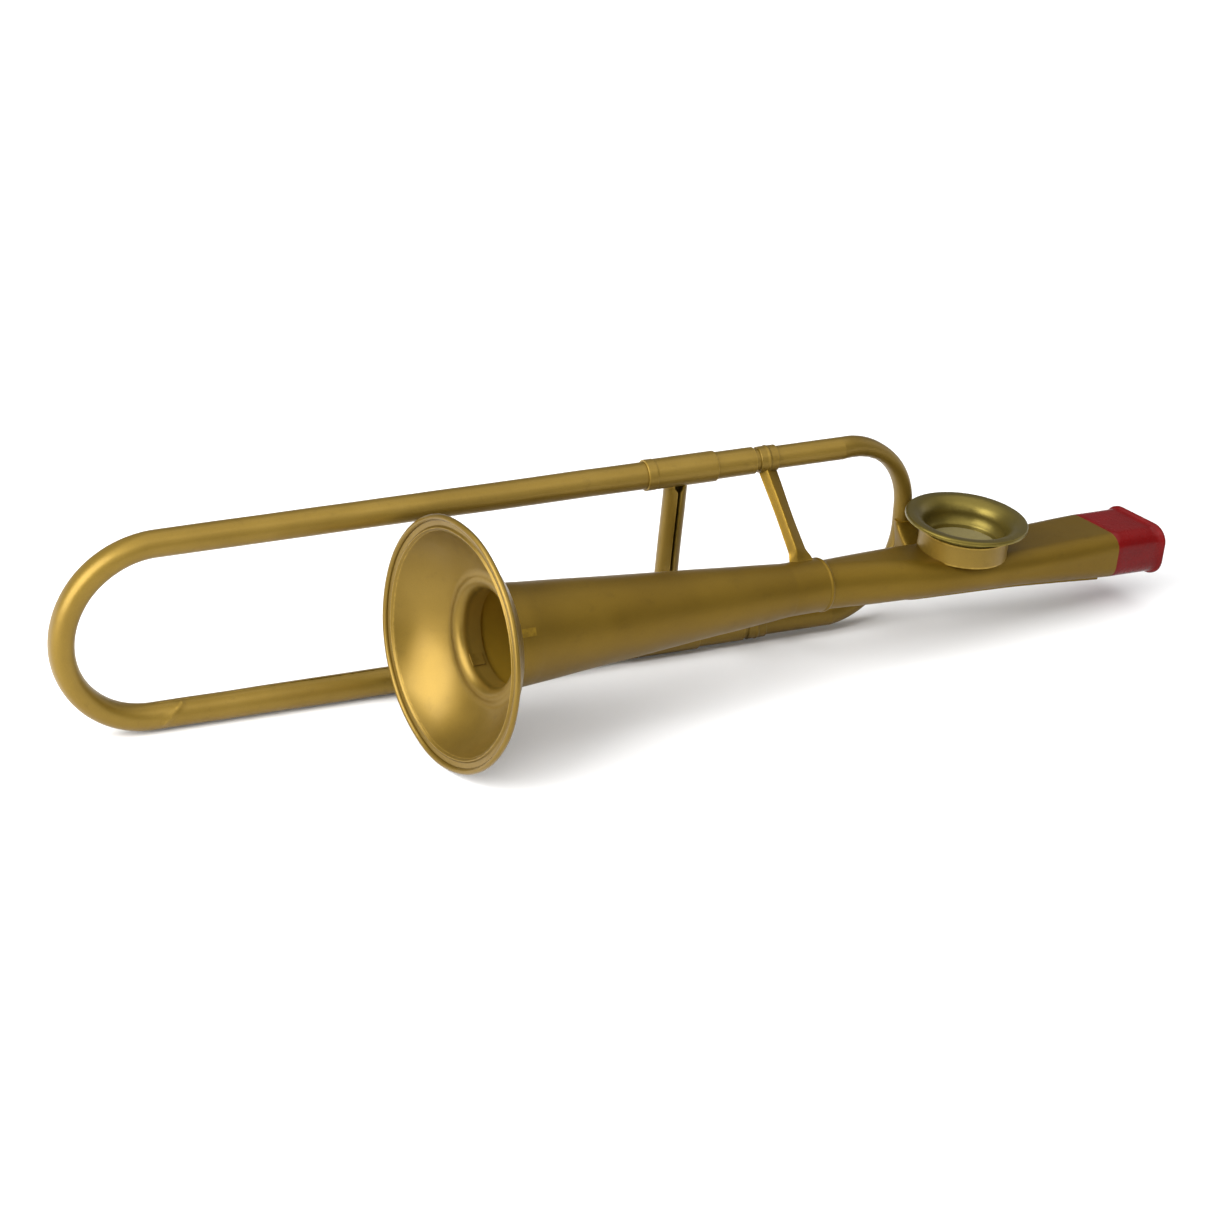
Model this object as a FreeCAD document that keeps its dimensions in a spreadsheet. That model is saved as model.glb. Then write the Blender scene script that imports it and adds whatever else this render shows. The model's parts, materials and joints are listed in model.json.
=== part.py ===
"""A toy slide kazoo: a tin kazoo with a trombone's bell and a working slide.

Part frame: +X runs along the slide towards the mouthpiece, +Z is up across the slide's loop, and
the bell and kazoo body stand on the -Y side of the slide. The origin is under the middle of the
whole toy, on the surface that the bell rim and the slide's lower ferrule rest on. Millimetres.
"""
import FreeCAD, Part
import math
import os

import Sketcher

os.makedirs("parts", exist_ok=True)
doc = FreeCAD.newDocument("slide_kazoo")
V = FreeCAD.Vector

# ------------------------------------------------------------------ driving dimensions
DIMENSIONS = [
    # slide loop
    ("slide_y", 35.6, "centre plane of the slide loop"),
    ("loop_half", 28.0, "half the distance between the slide's two legs"),
    ("bow_x", -145.35, "where the front bow ends and the straight legs begin"),
    ("leg_len", 186.6, "straight length of an outer slide leg"),
    ("leg_rad", 4.1, "outside radius of an outer slide leg"),
    ("tin", 0.35, "thickness of the rolled tube sheet"),
    ("slit_half", 0.25, "half the width of the open seam along a rolled tube"),
    ("bow_depth", 4.25, "front bow: half its size across the loop plane"),
    ("bow_thick", 3.95, "front bow: half its size in the loop plane, pressed by the bend"),
    ("bow_corner", 3.8, "front bow: corner radius of the section"),
    # ferrules and the cross brace that ties the two outer legs
    ("ferrule_x", 5.95, "front end of the upper ferrule"),
    ("ferrule_step", 2.3, "how far the lower ferrule sits in front of the upper one"),
    ("ferrule_len", 22.6, "length of a ferrule"),
    ("ferrule_rad", 4.6, "outside radius of a ferrule"),
    ("ferrule_lip", 4.7, "outside radius of a ferrule's front band"),
    ("ferrule_band", 3.0, "width of a ferrule's front band"),
    ("brace_x", 15.6, "middle of the slide brace"),
    ("brace_lean", 2.3, "degrees that the slide brace leans back towards its top"),
    ("brace_rad", 3.5, "outside radius of the slide brace"),
    ("brace_half", 24.4, "half the length of the slide brace's blank"),
    ("brace_slit", 0.55, "half the width of the slide brace's open seam"),
    # inner slide tubes and the back bow
    ("inner_x", -108.25, "front end of the inner slide tubes"),
    ("inner_len", 179.2, "length of an inner slide tube"),
    ("inner_rad", 3.45, "outside radius of an inner slide tube"),
    ("back_corner", 25.2, "bend radius of the back bow's two corners"),
    ("back_lean", 10.7, "degrees that the back bow leans away from the turret"),
    ("back_lead", 1.5, "length of the bow's blank before its first bend"),
    ("back_depth", 3.2, "back bow: half its size across the loop plane"),
    ("back_thick", 2.5, "back bow: half its size in the loop plane"),
    ("back_round", 2.4, "back bow: corner radius of the section"),
    # strap collars on the inner tubes
    ("collar_x", 42.75, "front end of the collars"),
    ("collar_len", 5.8, "length of a collar"),
    ("collar_rad", 3.95, "outside radius of a collar"),
    ("collar_bead", 4.15, "outside radius of the bead round a collar"),
    ("bead_width", 0.6, "width of the bead round a collar"),
    # horn axis, from the bell's rim to the mouthpiece
    ("horn_x", -71.75, "centre of the bell's rim plane"),
    ("horn_y", -6.4, "centre of the bell's rim plane"),
    ("horn_z", 37.7, "centre of the bell's rim plane"),
    ("horn_yaw", 8.6, "degrees that the horn closes on the slide towards the mouthpiece"),
    ("horn_pitch", 4.2, "degrees that the horn drops towards the mouthpiece"),
    # bell, in the horn's own frame: distance along the axis, and radius
    ("rim_rad", 36.7, "radius of the centre of the rolled rim bead"),
    ("bead_rad", 0.9, "radius of the rolled rim bead"),
    ("bell_tin", 0.5, "thickness of the bell's sheet"),
    ("ring_rad", 33.6, "radius of the pressed ring inside the rim"),
    ("ring_wide", 0.7, "half the width of the pressed ring"),
    ("ring_back", 1.2, "the ring's foot, behind the rim plane"),
    ("ring_front", 0.65, "the ring's crest, behind the rim plane"),
    ("dish_arc", 26.0, "bend radius of the hollow dish between the ring and the throat"),
    ("crease_x", 12.5, "crease where the dish meets the throat's raised lip"),
    ("crease_rad", 19.1, "radius of that crease"),
    ("crease_back", 0.56, "how far behind it the crease of the sheet's back lies"),
    ("lip_arc", 3.05, "bend radius of the throat's lip"),
    ("neck_x", 15.0, "where the lip becomes the straight neck"),
    ("neck_rad", 14.3, "inside radius of the neck"),
    ("neck_end", 19.5, "inner end of the neck"),
    # cone
    ("cone_x", 14.6, "front edge of the cone"),
    ("cone_rad", 15.35, "outside radius of the cone at its front edge"),
    ("cone_grip", 20.0, "end of the cone's straight socket over the neck"),
    ("taper_x", 116.0, "where the cone's taper ends"),
    ("taper_rad", 8.0, "outside radius there and at the cone's end"),
    ("cone_end", 129.0, "back edge of the cone"),
    ("cone_tin", 0.4, "thickness of the cone's sheet"),
    ("cone_bead", 8.3, "outside radius of the cone's edge bead"),
    # kazoo body, in the kazoo's own frame
    ("kazoo_at", 117.0, "kazoo frame's origin, along the horn axis"),
    ("kazoo_dip", 0.9, "degrees that the kazoo drops below the horn axis"),
    ("kazoo_tin", 0.5, "thickness of the kazoo's sheet"),
    ("tip_cut", 11.5, "degrees that the mouthpiece's ends are cut off square"),
    ("tip_x", 113.6, "where the mouthpiece starts"),
    ("tip_len", 17.8, "length of the mouthpiece"),
    ("tip_wall", 1.3, "wall of the mouthpiece"),
    ("tip_lip", 0.8, "how far the mouthpiece's lip stands out"),
    ("lip_len", 1.4, "length of the lip"),
    ("spigot", 6.0, "length of the mouthpiece's spigot inside the body"),
    # turret, in the turret's own frame: radius, and height above the kazoo axis
    ("turret_at", 63.4, "turret axis, along the kazoo axis"),
    ("hole_rad", 8.0, "radius of the sound hole under the turret"),
    ("cup_rad", 13.65, "outside radius of the turret cup"),
    ("cup_tin", 0.5, "thickness of the turret's sheet"),
    ("cup_low", 5.0, "lower edge of the cup's wall"),
    ("cup_floor", 5.3, "underside of the cup's floor"),
    ("cup_top", 11.7, "upper edge of the cup's wall"),
    ("seat_top", 7.2, "top of the membrane seat"),
    ("film", 0.25, "thickness of the membrane"),
    ("film_rad", 12.6, "radius of the membrane"),
    ("cap_fit", 0.06, "radial play of the cap in the cup"),
    ("cap_rim", 18.2, "radius where the cap's flange meets its rolled edge"),
    ("cap_edge", 0.6, "roll radius of the cap's edge"),
    ("cap_high", 15.9, "top of the cap's flange at its edge"),
    ("cap_lip", 14.8, "lower end of the cap's rolled edge"),
    ("bowl_rad", 17.09, "radius where the flange starts to curve down into the bowl"),
    ("bowl_round", 4.5, "bend radius of that curve"),
    ("bowl_turn", 11.4, "height where the curve becomes the bowl's wall"),
    ("bowl_foot", 10.9, "inside radius of the cap's foot"),
    ("foot_high", 8.2, "height where the inward curve ends"),
    # braces between the horn and the slide's collars, and the back bow's saddle
    ("strut_rad", 2.9, "outside radius of a brace's half-round channel"),
    ("strut_skin", 0.7, "thickness of a brace's sheet"),
    ("strut_at", 122.5, "where the braces meet the cone, along the horn axis"),
    ("strut_side", 2.5, "how far behind the cone's crest they meet it"),
    ("strut_high", 7.6, "how far above and below its axis they meet it"),
    ("saddle_wide", 4.3, "half the saddle's width along the slide"),
    ("saddle_low", 18.4, "saddle's lower end"),
    ("saddle_tall", 13.4, "saddle's height"),
    ("saddle_back", 39.6, "how far back the saddle's cradle reaches"),
    ("saddle_front", 26.9, "how far forward the saddle's blank reaches"),
    # seam along the kazoo body's lower front edge
    ("seam_half", 0.4, "half the thickness of the crimped seam"),
    ("seam_sunk", 0.4, "how far the seam's blank starts inside the body"),
    ("seam_drop", 0.9, "how far the seam hangs below the body"),
]
# The kazoo's cross-sections: distance along its axis, half width, half height, corner radius.
SECTIONS = [
    ("k_zero", 4.0, 7.2, 7.2, 7.0),
    ("k_one", 13.5, 7.3, 7.3, 7.0),
    ("k_two", 32.0, 8.8, 6.9, 6.5),
    ("k_three", 54.0, 10.8, 5.5, 5.2),
    ("k_four", 78.0, 11.4, 5.7, 5.2),
    ("k_five", 96.0, 11.5, 6.5, 5.2),
    ("k_six", 113.6, 11.2, 7.4, 4.7),
]

sheet = doc.addObject("Spreadsheet::Sheet", "dims")


def fill_sheet():
    """Writes every driving dimension as a plain number with its name and note."""
    rows = list(DIMENSIONS)
    for name, place, wide, high, corner in SECTIONS:
        rows.append((name + "_at", place, "kazoo section: distance along the axis"))
        rows.append((name + "_wide", wide, "kazoo section: half width"))
        rows.append((name + "_high", high, "kazoo section: half height"))
        rows.append((name + "_corner", corner, "kazoo section: corner radius"))
    for number, (name, value, note) in enumerate(rows, start=1):
        sheet.set("A%d" % number, name)
        sheet.set("B%d" % number, str(value))
        sheet.set("C%d" % number, note)
        sheet.setAlias("B%d" % number, name)
    doc.recompute()


# ------------------------------------------------------------------ sums of sheet cells
# A size is written as sheet names separated by spaces; a leading minus subtracts that cell.
def value(terms):
    """The number that a sum of sheet cells comes to."""
    result = 0.0
    for term in terms.split():
        cell = float(sheet.get(term.lstrip("-")))
        result += -cell if term.startswith("-") else cell
    return result


def formula(terms):
    """The same sum as a spreadsheet expression."""
    text = ""
    for term in terms.split():
        sign = " - " if term.startswith("-") else " + "
        text += sign + "dims." + term.lstrip("-")
    return "0 mm" + text.replace("dims.", "1 mm * dims.")


def negate(terms):
    """The sum with every sign turned round."""
    turned = []
    for term in terms.split():
        turned.append(term[1:] if term.startswith("-") else "-" + term)
    return " ".join(turned)


# ------------------------------------------------------------------ bodies and sketches
def new_body(name):
    body = doc.addObject("PartDesign::Body", name)
    body.Label = name
    return body


def origin_plane(body, role):
    for feature in body.Origin.OriginFeatures:
        if feature.Role == role:
            return feature
    raise ValueError("no plane " + role)


def new_sketch(body, name, role, shift="", turn=0.0):
    """A sketch on one of the body's own planes, moved along its normal and turned in plan."""
    sketch = body.newObject("Sketcher::SketchObject", name)
    sketch.AttachmentSupport = [(origin_plane(body, role), "")]
    sketch.MapMode = "FlatFace"
    if turn:
        rotation = FreeCAD.Rotation(V(0, 1, 0), turn)
        sketch.AttachmentOffset = FreeCAD.Placement(V(0, 0, 0), rotation)
    if shift:
        sketch.setExpression("AttachmentOffset.Base.z", formula(shift))
    return sketch


def pin(sketch, curve, point, across, up):
    """Holds a point of a curve at (across, up) from the sketch's origin, bound to the sheet."""
    for kind, terms in (("DistanceX", across), ("DistanceY", up)):
        number = sketch.addConstraint(Sketcher.Constraint(kind, -1, 1, curve, point, value(terms)))
        label = "%s_%d" % (kind, number)
        sketch.renameConstraint(number, label)
        sketch.setExpression("Constraints." + label, formula(terms))


def bind_radius(sketch, curve, terms):
    number = sketch.addConstraint(Sketcher.Constraint("Radius", curve, value(terms)))
    label = "Radius_%d" % number
    sketch.renameConstraint(number, label)
    sketch.setExpression("Constraints." + label, formula(terms))


def arc_between(start, end, radius, side):
    """The short arc from start to end; side +1 puts its centre left of the chord, -1 right."""
    chord = end - start
    middle = (start + end) * 0.5
    left = V(-chord.y, chord.x, 0)
    left.normalize()
    rise = math.sqrt(max(0.0, radius ** 2 - (chord.Length / 2) ** 2))
    centre = middle + left * (side * rise)
    circle = Part.Circle(centre, V(0, 0, 1), radius)
    first = math.atan2(start.y - centre.y, start.x - centre.x)
    last = math.atan2(end.y - centre.y, end.x - centre.x)
    if side > 0:
        return Part.ArcOfCircle(circle, first, last), 1, 2
    return Part.ArcOfCircle(circle, last, first), 2, 1


def outline(sketch, points, bends=None):
    """A closed outline. points are (across, up) sums; bends maps a point's number to the
    (radius sum, side) of the arc that leaves it. The other edges are straight."""
    bends = bends or {}
    places = [V(value(across), value(up), 0) for across, up in points]
    edges = []
    for number, start in enumerate(places):
        end = places[(number + 1) % len(places)]
        if number in bends:
            terms, side = bends[number]
            curve, first, last = arc_between(start, end, value(terms), side)
            index = sketch.addGeometry(curve, False)
        else:
            first, last = 1, 2
            index = sketch.addGeometry(Part.LineSegment(start, end), False)
        edges.append((index, first, last))
    for number, (index, first, last) in enumerate(edges):
        following, next_first, _ = edges[(number + 1) % len(edges)]
        sketch.addConstraint(Sketcher.Constraint("Coincident", index, last, following, next_first))
    for (across, up), (index, first, _) in zip(points, edges):
        pin(sketch, index, first, across, up)
    for number, (terms, _) in bends.items():
        bind_radius(sketch, edges[number][0], terms)


def add_circle(sketch, radius):
    """A circle about the sketch's origin."""
    circle = Part.Circle(V(0, 0, 0), V(0, 0, 1), value(radius))
    index = sketch.addGeometry(circle, False)
    sketch.addConstraint(Sketcher.Constraint("Coincident", index, 3, -1, 1))
    bind_radius(sketch, index, radius)


def rounded_box(sketch, wide, high, corner, up=""):
    """A box with round corners, centred `up` above the sketch's origin."""
    flat = wide + " " + negate(corner)
    side = high + " " + negate(corner)
    top = [(flat, up + " " + high), (negate(flat), up + " " + high)]
    left = [(negate(wide), up + " " + side), (negate(wide), up + " " + negate(side))]
    bottom = [(negate(flat), up + " " + negate(high)), (flat, up + " " + negate(high))]
    right = [(wide, up + " " + negate(side)), (wide, up + " " + side)]
    bends = {number: (corner, 1) for number in (1, 3, 5, 7)}
    outline(sketch, top + left + bottom + right, bends)


# ------------------------------------------------------------------ features
def pad(body, sketch, name, length):
    feature = body.newObject("PartDesign::Pad", name)
    feature.Profile = sketch
    feature.setExpression("Length", formula(length))
    return feature


def revolve(body, sketch, name, axis, angle=360.0):
    feature = body.newObject("PartDesign::Revolution", name)
    feature.Profile = sketch
    feature.ReferenceAxis = (sketch, [axis])
    feature.Angle = angle
    return feature


def open_seam(body, name, role, across, up, flip):
    """Cuts a rolled tube's open seam through one wall, from the plane outwards. across and up
    are the seam's first and last place along the plane's two axes."""
    sketch = new_sketch(body, name + "_line", role)
    low, high = up
    first, last = across
    outline(sketch, [(first, low), (last, low), (last, high), (first, high)])
    feature = body.newObject("PartDesign::Pocket", name)
    feature.Profile = sketch
    feature.Type = "ThroughAll"
    feature.Reversed = flip
    return feature


def leg_seam(body, name, length, upward):
    """The open seam along a rolled leg, on the side that faces the loop's inside."""
    open_seam(body, name, "XY_Plane", ("", length), ("-slit_half", "slit_half"), upward)


def place(item, x, y, z, rotation=None):
    """Puts a body at a point given by sums of sheet cells, and binds the point to the sheet."""
    turn = rotation or FreeCAD.Rotation()
    item.Placement = FreeCAD.Placement(V(value(x), value(y), value(z)), turn)
    for letter, terms in (("x", x), ("y", y), ("z", z)):
        item.setExpression("Placement.Base." + letter, formula(terms))


def tube(name, radius, wall, start, length):
    """A rolled tube along +X, with its length bound to the sheet."""
    body = new_body(name)
    sketch = new_sketch(body, name + "_section", "YZ_Plane", start)
    add_circle(sketch, radius)
    add_circle(sketch, radius + " " + negate(wall))
    pad(body, sketch, name + "_pad", length)
    return body


def turned(name, points, bends=None, axis="H_Axis"):
    """A ring turned about the body's X axis (H_Axis) or Z axis (V_Axis)."""
    body = new_body(name)
    sketch = new_sketch(body, name + "_section", "XZ_Plane")
    outline(sketch, points, bends)
    revolve(body, sketch, name + "_turn", axis)
    return body


def boolean(kind, name, base, tool):
    """A Part::Cut or Part::Common of two objects."""
    result = doc.addObject("Part::" + kind, name)
    result.Label = name
    result.Base = base
    result.Tool = tool
    return result


# ------------------------------------------------------------------ frames
AXIS_HEIGHT = "loop_half ferrule_lip"
LEGS = (("upper", "loop_half", False), ("lower", "-loop_half", True))
FERRULE_START = {"upper": "ferrule_x", "lower": "ferrule_x -ferrule_step"}


def horn_frame():
    turn = FreeCAD.Rotation(value("horn_yaw"), value("horn_pitch"), 0)
    return FreeCAD.Placement(V(value("horn_x"), value("horn_y"), value("horn_z")), turn)


def kazoo_frame():
    dip = FreeCAD.Rotation(0, value("kazoo_dip"), 0)
    return horn_frame().multiply(FreeCAD.Placement(V(value("kazoo_at"), 0, 0), dip))


def turret_frame():
    return kazoo_frame().multiply(FreeCAD.Placement(V(value("turret_at"), 0, 0), FreeCAD.Rotation()))


# ------------------------------------------------------------------ sliding loop
def ring_box(sketch, prefix, up):
    """The hollow section of a pressed tube: two round-cornered boxes, one wall apart."""
    wide, high, corner = prefix + "_depth", prefix + "_thick", prefix + "_corner"
    rounded_box(sketch, wide, high, corner, up)
    rounded_box(sketch, wide + " -tin", high + " -tin", corner + " -tin", up)


def make_front_bow():
    body = new_body("front_bow")
    sketch = new_sketch(body, "front_bow_section", "YZ_Plane")
    ring_box(sketch, "bow", "loop_half")
    bend = revolve(body, sketch, "front_bow_bend", "H_Axis", 180.0)
    bend.Reversed = True
    place(body, "bow_x", "slide_y", AXIS_HEIGHT)
    return body


def make_outer_leg(side, offset, upward):
    body = tube("outer_tube_" + side, "leg_rad", "tin", "", "leg_len")
    leg_seam(body, "outer_seam_" + side, "leg_len", upward)
    place(body, "bow_x", "slide_y", AXIS_HEIGHT + " " + offset)
    return body


def make_ferrule(side, offset):
    points = [
        ("", "leg_rad"),
        ("", "ferrule_lip"),
        ("ferrule_band", "ferrule_lip"),
        ("ferrule_band", "ferrule_rad"),
        ("ferrule_len", "ferrule_rad"),
        ("ferrule_len", "leg_rad"),
    ]
    body = turned("ferrule_" + side, points)
    place(body, FERRULE_START[side], "slide_y", AXIS_HEIGHT + " " + offset)
    return body


def make_slide_brace():
    """The rolled cross tube, leaning a little, saddled at both ends to the ferrules it joins."""
    blank = new_body("brace_blank")
    sketch = new_sketch(blank, "brace_section", "XY_Plane", "-brace_half")
    add_circle(sketch, "brace_rad")
    add_circle(sketch, "brace_rad -tin -tin")
    pad(blank, sketch, "brace_pad", "brace_half brace_half")
    open_seam(blank, "brace_seam", "XZ_Plane", ("-brace_slit", "brace_slit"),
              ("-brace_half", "brace_half"), True)
    lean = FreeCAD.Rotation(V(0, 1, 0), value("brace_lean"))
    place(blank, "brace_x", "slide_y", AXIS_HEIGHT, lean)
    shape = blank
    for side, offset, _ in LEGS:
        tool = doc.addObject("Part::Cylinder", "ferrule_envelope_" + side)
        tool.setExpression("Radius", formula("ferrule_rad"))
        tool.setExpression("Height", formula("ferrule_len"))
        along = FreeCAD.Rotation(V(0, 1, 0), 90)
        place(tool, FERRULE_START[side], "slide_y", AXIS_HEIGHT + " " + offset, along)
        shape = boolean("Cut", "slide_brace_" + side, shape, tool)
    shape.Label = "slide_brace"
    return shape


# ------------------------------------------------------------------ fixed slide tubes
def make_inner_tube(side, offset, upward):
    body = tube("inner_tube_" + side, "inner_rad", "tin", "", "inner_len")
    leg_seam(body, "inner_seam_" + side, "inner_len", upward)
    place(body, "inner_x", "slide_y", AXIS_HEIGHT + " " + offset)
    return body


def back_bow_path(body):
    """Centre line of the back bow: leads, two quarter bends and a straight between them."""
    path = new_sketch(body, "back_bow_path", "XZ_Plane")
    half, corner, lead = value("loop_half"), value("back_corner"), value("back_lead")
    flat = half - corner
    upper = Part.ArcOfCircle(Part.Circle(V(0, flat, 0), V(0, 0, 1), corner), 0, math.pi / 2)
    lower = Part.ArcOfCircle(Part.Circle(V(0, -flat, 0), V(0, 0, 1), corner), -math.pi / 2, 0)
    path.addGeometry(Part.LineSegment(V(-lead, half, 0), V(0, half, 0)), False)
    path.addGeometry(upper, False)
    path.addGeometry(Part.LineSegment(V(corner, flat, 0), V(corner, -flat, 0)), False)
    path.addGeometry(lower, False)
    path.addGeometry(Part.LineSegment(V(0, -half, 0), V(-lead, -half, 0)), False)
    for first, end, second, start in ((0, 2, 1, 2), (1, 1, 2, 1), (2, 2, 3, 2), (3, 1, 4, 1)):
        path.addConstraint(Sketcher.Constraint("Coincident", first, end, second, start))
    pin(path, 0, 1, "-back_lead", "loop_half")
    pin(path, 0, 2, "", "loop_half")
    pin(path, 2, 1, "back_corner", "loop_half -back_corner")
    pin(path, 2, 2, "back_corner", "-loop_half back_corner")
    pin(path, 4, 1, "", "-loop_half")
    pin(path, 4, 2, "-back_lead", "-loop_half")
    bind_radius(path, 1, "back_corner")
    bind_radius(path, 3, "back_corner")
    return path


def swept_bow(name, passes):
    """The bow swept along its path. passes are (kind of pipe, how much smaller the section is)."""
    body = new_body(name)
    path = back_bow_path(body)
    for kind, trim in passes:
        section = new_sketch(body, kind + "_bow_section", "YZ_Plane", "-back_lead")
        rounded_box(section, "back_depth" + trim, "back_thick" + trim, "back_round" + trim, "loop_half")
        pipe = body.newObject("PartDesign::%sPipe" % kind, kind + "_bow_pipe")
        pipe.Profile = section
        pipe.Spine = (path, ["Edge%d" % number for number in range(1, 6)])
        pipe.Mode = "Frenet"
    lean = FreeCAD.Rotation(value("back_lean"), 0, 0)
    place(body, "inner_x inner_len", "slide_y", AXIS_HEIGHT, lean)
    return body


def make_back_bow():
    """The hollow bow, with its leaning ends cut off square against the inner tubes."""
    blank = swept_bow("back_bow_blank", (("Additive", ""), ("Subtractive", " -tin")))
    tool = doc.addObject("Part::Box", "bow_end_trim")
    tool.setExpression("Length", formula("back_corner"))
    tool.setExpression("Width", formula("loop_half"))
    tool.setExpression("Height", formula("loop_half loop_half loop_half"))
    place(tool, "inner_x inner_len -back_corner", "slide_y -back_depth -back_depth", "")
    return boolean("Cut", "back_bow", blank, tool)


def make_collar(side, offset):
    points = [
        ("", "inner_rad"),
        ("", "collar_rad"),
        ("collar_len -bead_width -bead_width -bead_width", "collar_rad"),
        ("collar_len -bead_width -bead_width -bead_width", "collar_bead"),
        ("collar_len -bead_width -bead_width", "collar_bead"),
        ("collar_len -bead_width -bead_width", "collar_rad"),
        ("collar_len", "collar_rad"),
        ("collar_len", "inner_rad"),
    ]
    body = turned("collar_" + side, points)
    place(body, "collar_x", "slide_y", AXIS_HEIGHT + " " + offset)
    return body


# ------------------------------------------------------------------ horn: bell and cone
def make_bell():
    """The bell's sheet: rolled rim, pressed ring, hollow dish, the throat's raised lip and the neck."""
    points = [
        ("neck_end", "neck_rad"),
        ("neck_end", "neck_rad bell_tin"),
        ("neck_x", "neck_rad bell_tin"),
        ("crease_x crease_back", "crease_rad"),
        ("ring_back bell_tin", "ring_rad -ring_wide"),
        ("ring_front bell_tin", "ring_rad"),
        ("ring_back bell_tin", "ring_rad ring_wide"),
        ("bead_rad bead_rad", "rim_rad"),
        ("bead_rad", "rim_rad bead_rad"),
        ("", "rim_rad"),
        ("bead_rad", "rim_rad -bead_rad"),
        ("ring_back", "ring_rad ring_wide"),
        ("ring_front", "ring_rad"),
        ("ring_back", "ring_rad -ring_wide"),
        ("crease_x", "crease_rad"),
        ("neck_x", "neck_rad"),
    ]
    bends = {
        2: ("lip_arc -bell_tin", -1),
        3: ("dish_arc bell_tin", 1),
        7: ("bead_rad", 1),
        8: ("bead_rad", 1),
        9: ("bead_rad", 1),
        13: ("dish_arc", -1),
        14: ("lip_arc", 1),
    }
    body = turned("bell_flare", points, bends)
    body.Placement = horn_frame()
    return body


def make_cone():
    """The rolled cone: a straight socket over the bell's neck, the taper and a beaded end."""
    points = [
        ("cone_x", "cone_rad -cone_tin"),
        ("cone_x", "cone_rad"),
        ("cone_grip", "cone_rad"),
        ("taper_x", "taper_rad"),
        ("cone_end -bead_width -bead_width", "taper_rad"),
        ("cone_end -bead_width", "cone_bead"),
        ("cone_end", "taper_rad"),
        ("cone_end", "taper_rad -cone_tin"),
        ("taper_x", "taper_rad -cone_tin"),
        ("cone_grip", "cone_rad -cone_tin"),
    ]
    body = turned("bell_cone", points)
    body.Placement = horn_frame()
    return body


def make_cone_envelope():
    """The space that the cone takes up, which trims the braces."""
    points = [
        ("cone_x", ""),
        ("cone_x", "cone_rad"),
        ("cone_grip", "cone_rad"),
        ("taper_x", "taper_rad"),
        ("cone_end", "taper_rad"),
        ("cone_end", ""),
    ]
    body = turned("cone_envelope", points)
    body.Placement = horn_frame()
    return body


# ------------------------------------------------------------------ kazoo body
def loft(name, sections):
    """A loft along +X. sections are (place, half width, half height, corner, degrees of skew)."""
    body = new_body(name)
    sketches = []
    for number, (at, wide, high, corner, skew) in enumerate(sections):
        sketch = new_sketch(body, "%s_rib_%d" % (name, number), "YZ_Plane", at, skew)
        rounded_box(sketch, wide, high, corner)
        sketches.append(sketch)
    feature = body.newObject("PartDesign::AdditiveLoft", name + "_loft")
    feature.Profile = sketches[0]
    feature.Sections = sketches[1:]
    body.Placement = kazoo_frame()
    return body


def kazoo_ribs(grow):
    """The kazoo's sections, all grown by the same sum; the last is cut askew like the tip."""
    ribs = []
    for name, _, _, _, _ in SECTIONS:
        skew = value("tip_cut") if name == SECTIONS[-1][0] else 0.0
        sizes = [name + part + " " + grow for part in ("_wide", "_high", "_corner")]
        ribs.append((name + "_at", *sizes, skew))
    return ribs


def make_kazoo(form):
    """The kazoo's tin shell, open at both ends, with the sound hole under the turret."""
    core = loft("kazoo_core", kazoo_ribs("-kazoo_tin"))
    shell = boolean("Cut", "kazoo_shell", form, core)
    hole = doc.addObject("Part::Cylinder", "sound_hole")
    hole.setExpression("Radius", formula("hole_rad"))
    hole.setExpression("Height", formula("cup_top"))
    hole.Placement = turret_frame()
    body = boolean("Cut", "kazoo_body", shell, hole)
    return body


def tip_rib(at, grow, name=SECTIONS[-1][0]):
    """One section of the mouthpiece, grown by a sum from a section of the kazoo's body."""
    sizes = [name + part + " " + grow for part in ("_wide", "_high", "_corner")]
    return (at, *sizes, value("tip_cut"))


def make_mouthpiece():
    """The mouthpiece: a flat tube with a lip, and a thin spigot that plugs into the body."""
    end = "tip_x tip_len"
    outer = loft("tip_outer", [
        tip_rib("tip_x", ""),
        tip_rib(end + " -lip_len -lip_len", ""),
    ])
    lip = loft("tip_lip_form", [
        tip_rib(end + " -lip_len -lip_len", ""),
        tip_rib(end + " -lip_len", "tip_lip"),
    ])
    edge = loft("tip_edge_form", [
        tip_rib(end + " -lip_len", "tip_lip"),
        tip_rib(end, "tip_lip -kazoo_tin"),
    ])
    plug = loft("tip_plug_form", [
        tip_rib("tip_x -spigot", "-kazoo_tin -cap_fit", SECTIONS[-2][0]),
        tip_rib("tip_x", "-kazoo_tin -cap_fit"),
    ])
    bore = loft("tip_bore", [
        tip_rib("tip_x -spigot -spigot", "-tip_wall", SECTIONS[-2][0]),
        tip_rib(end + " spigot", "-tip_wall"),
    ])
    shape = outer
    for number, piece in enumerate((lip, edge, plug)):
        shape = boolean("Fuse", "tip_form_%d" % number, shape, piece)
    return boolean("Cut", "mouthpiece", shape, bore)


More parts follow.
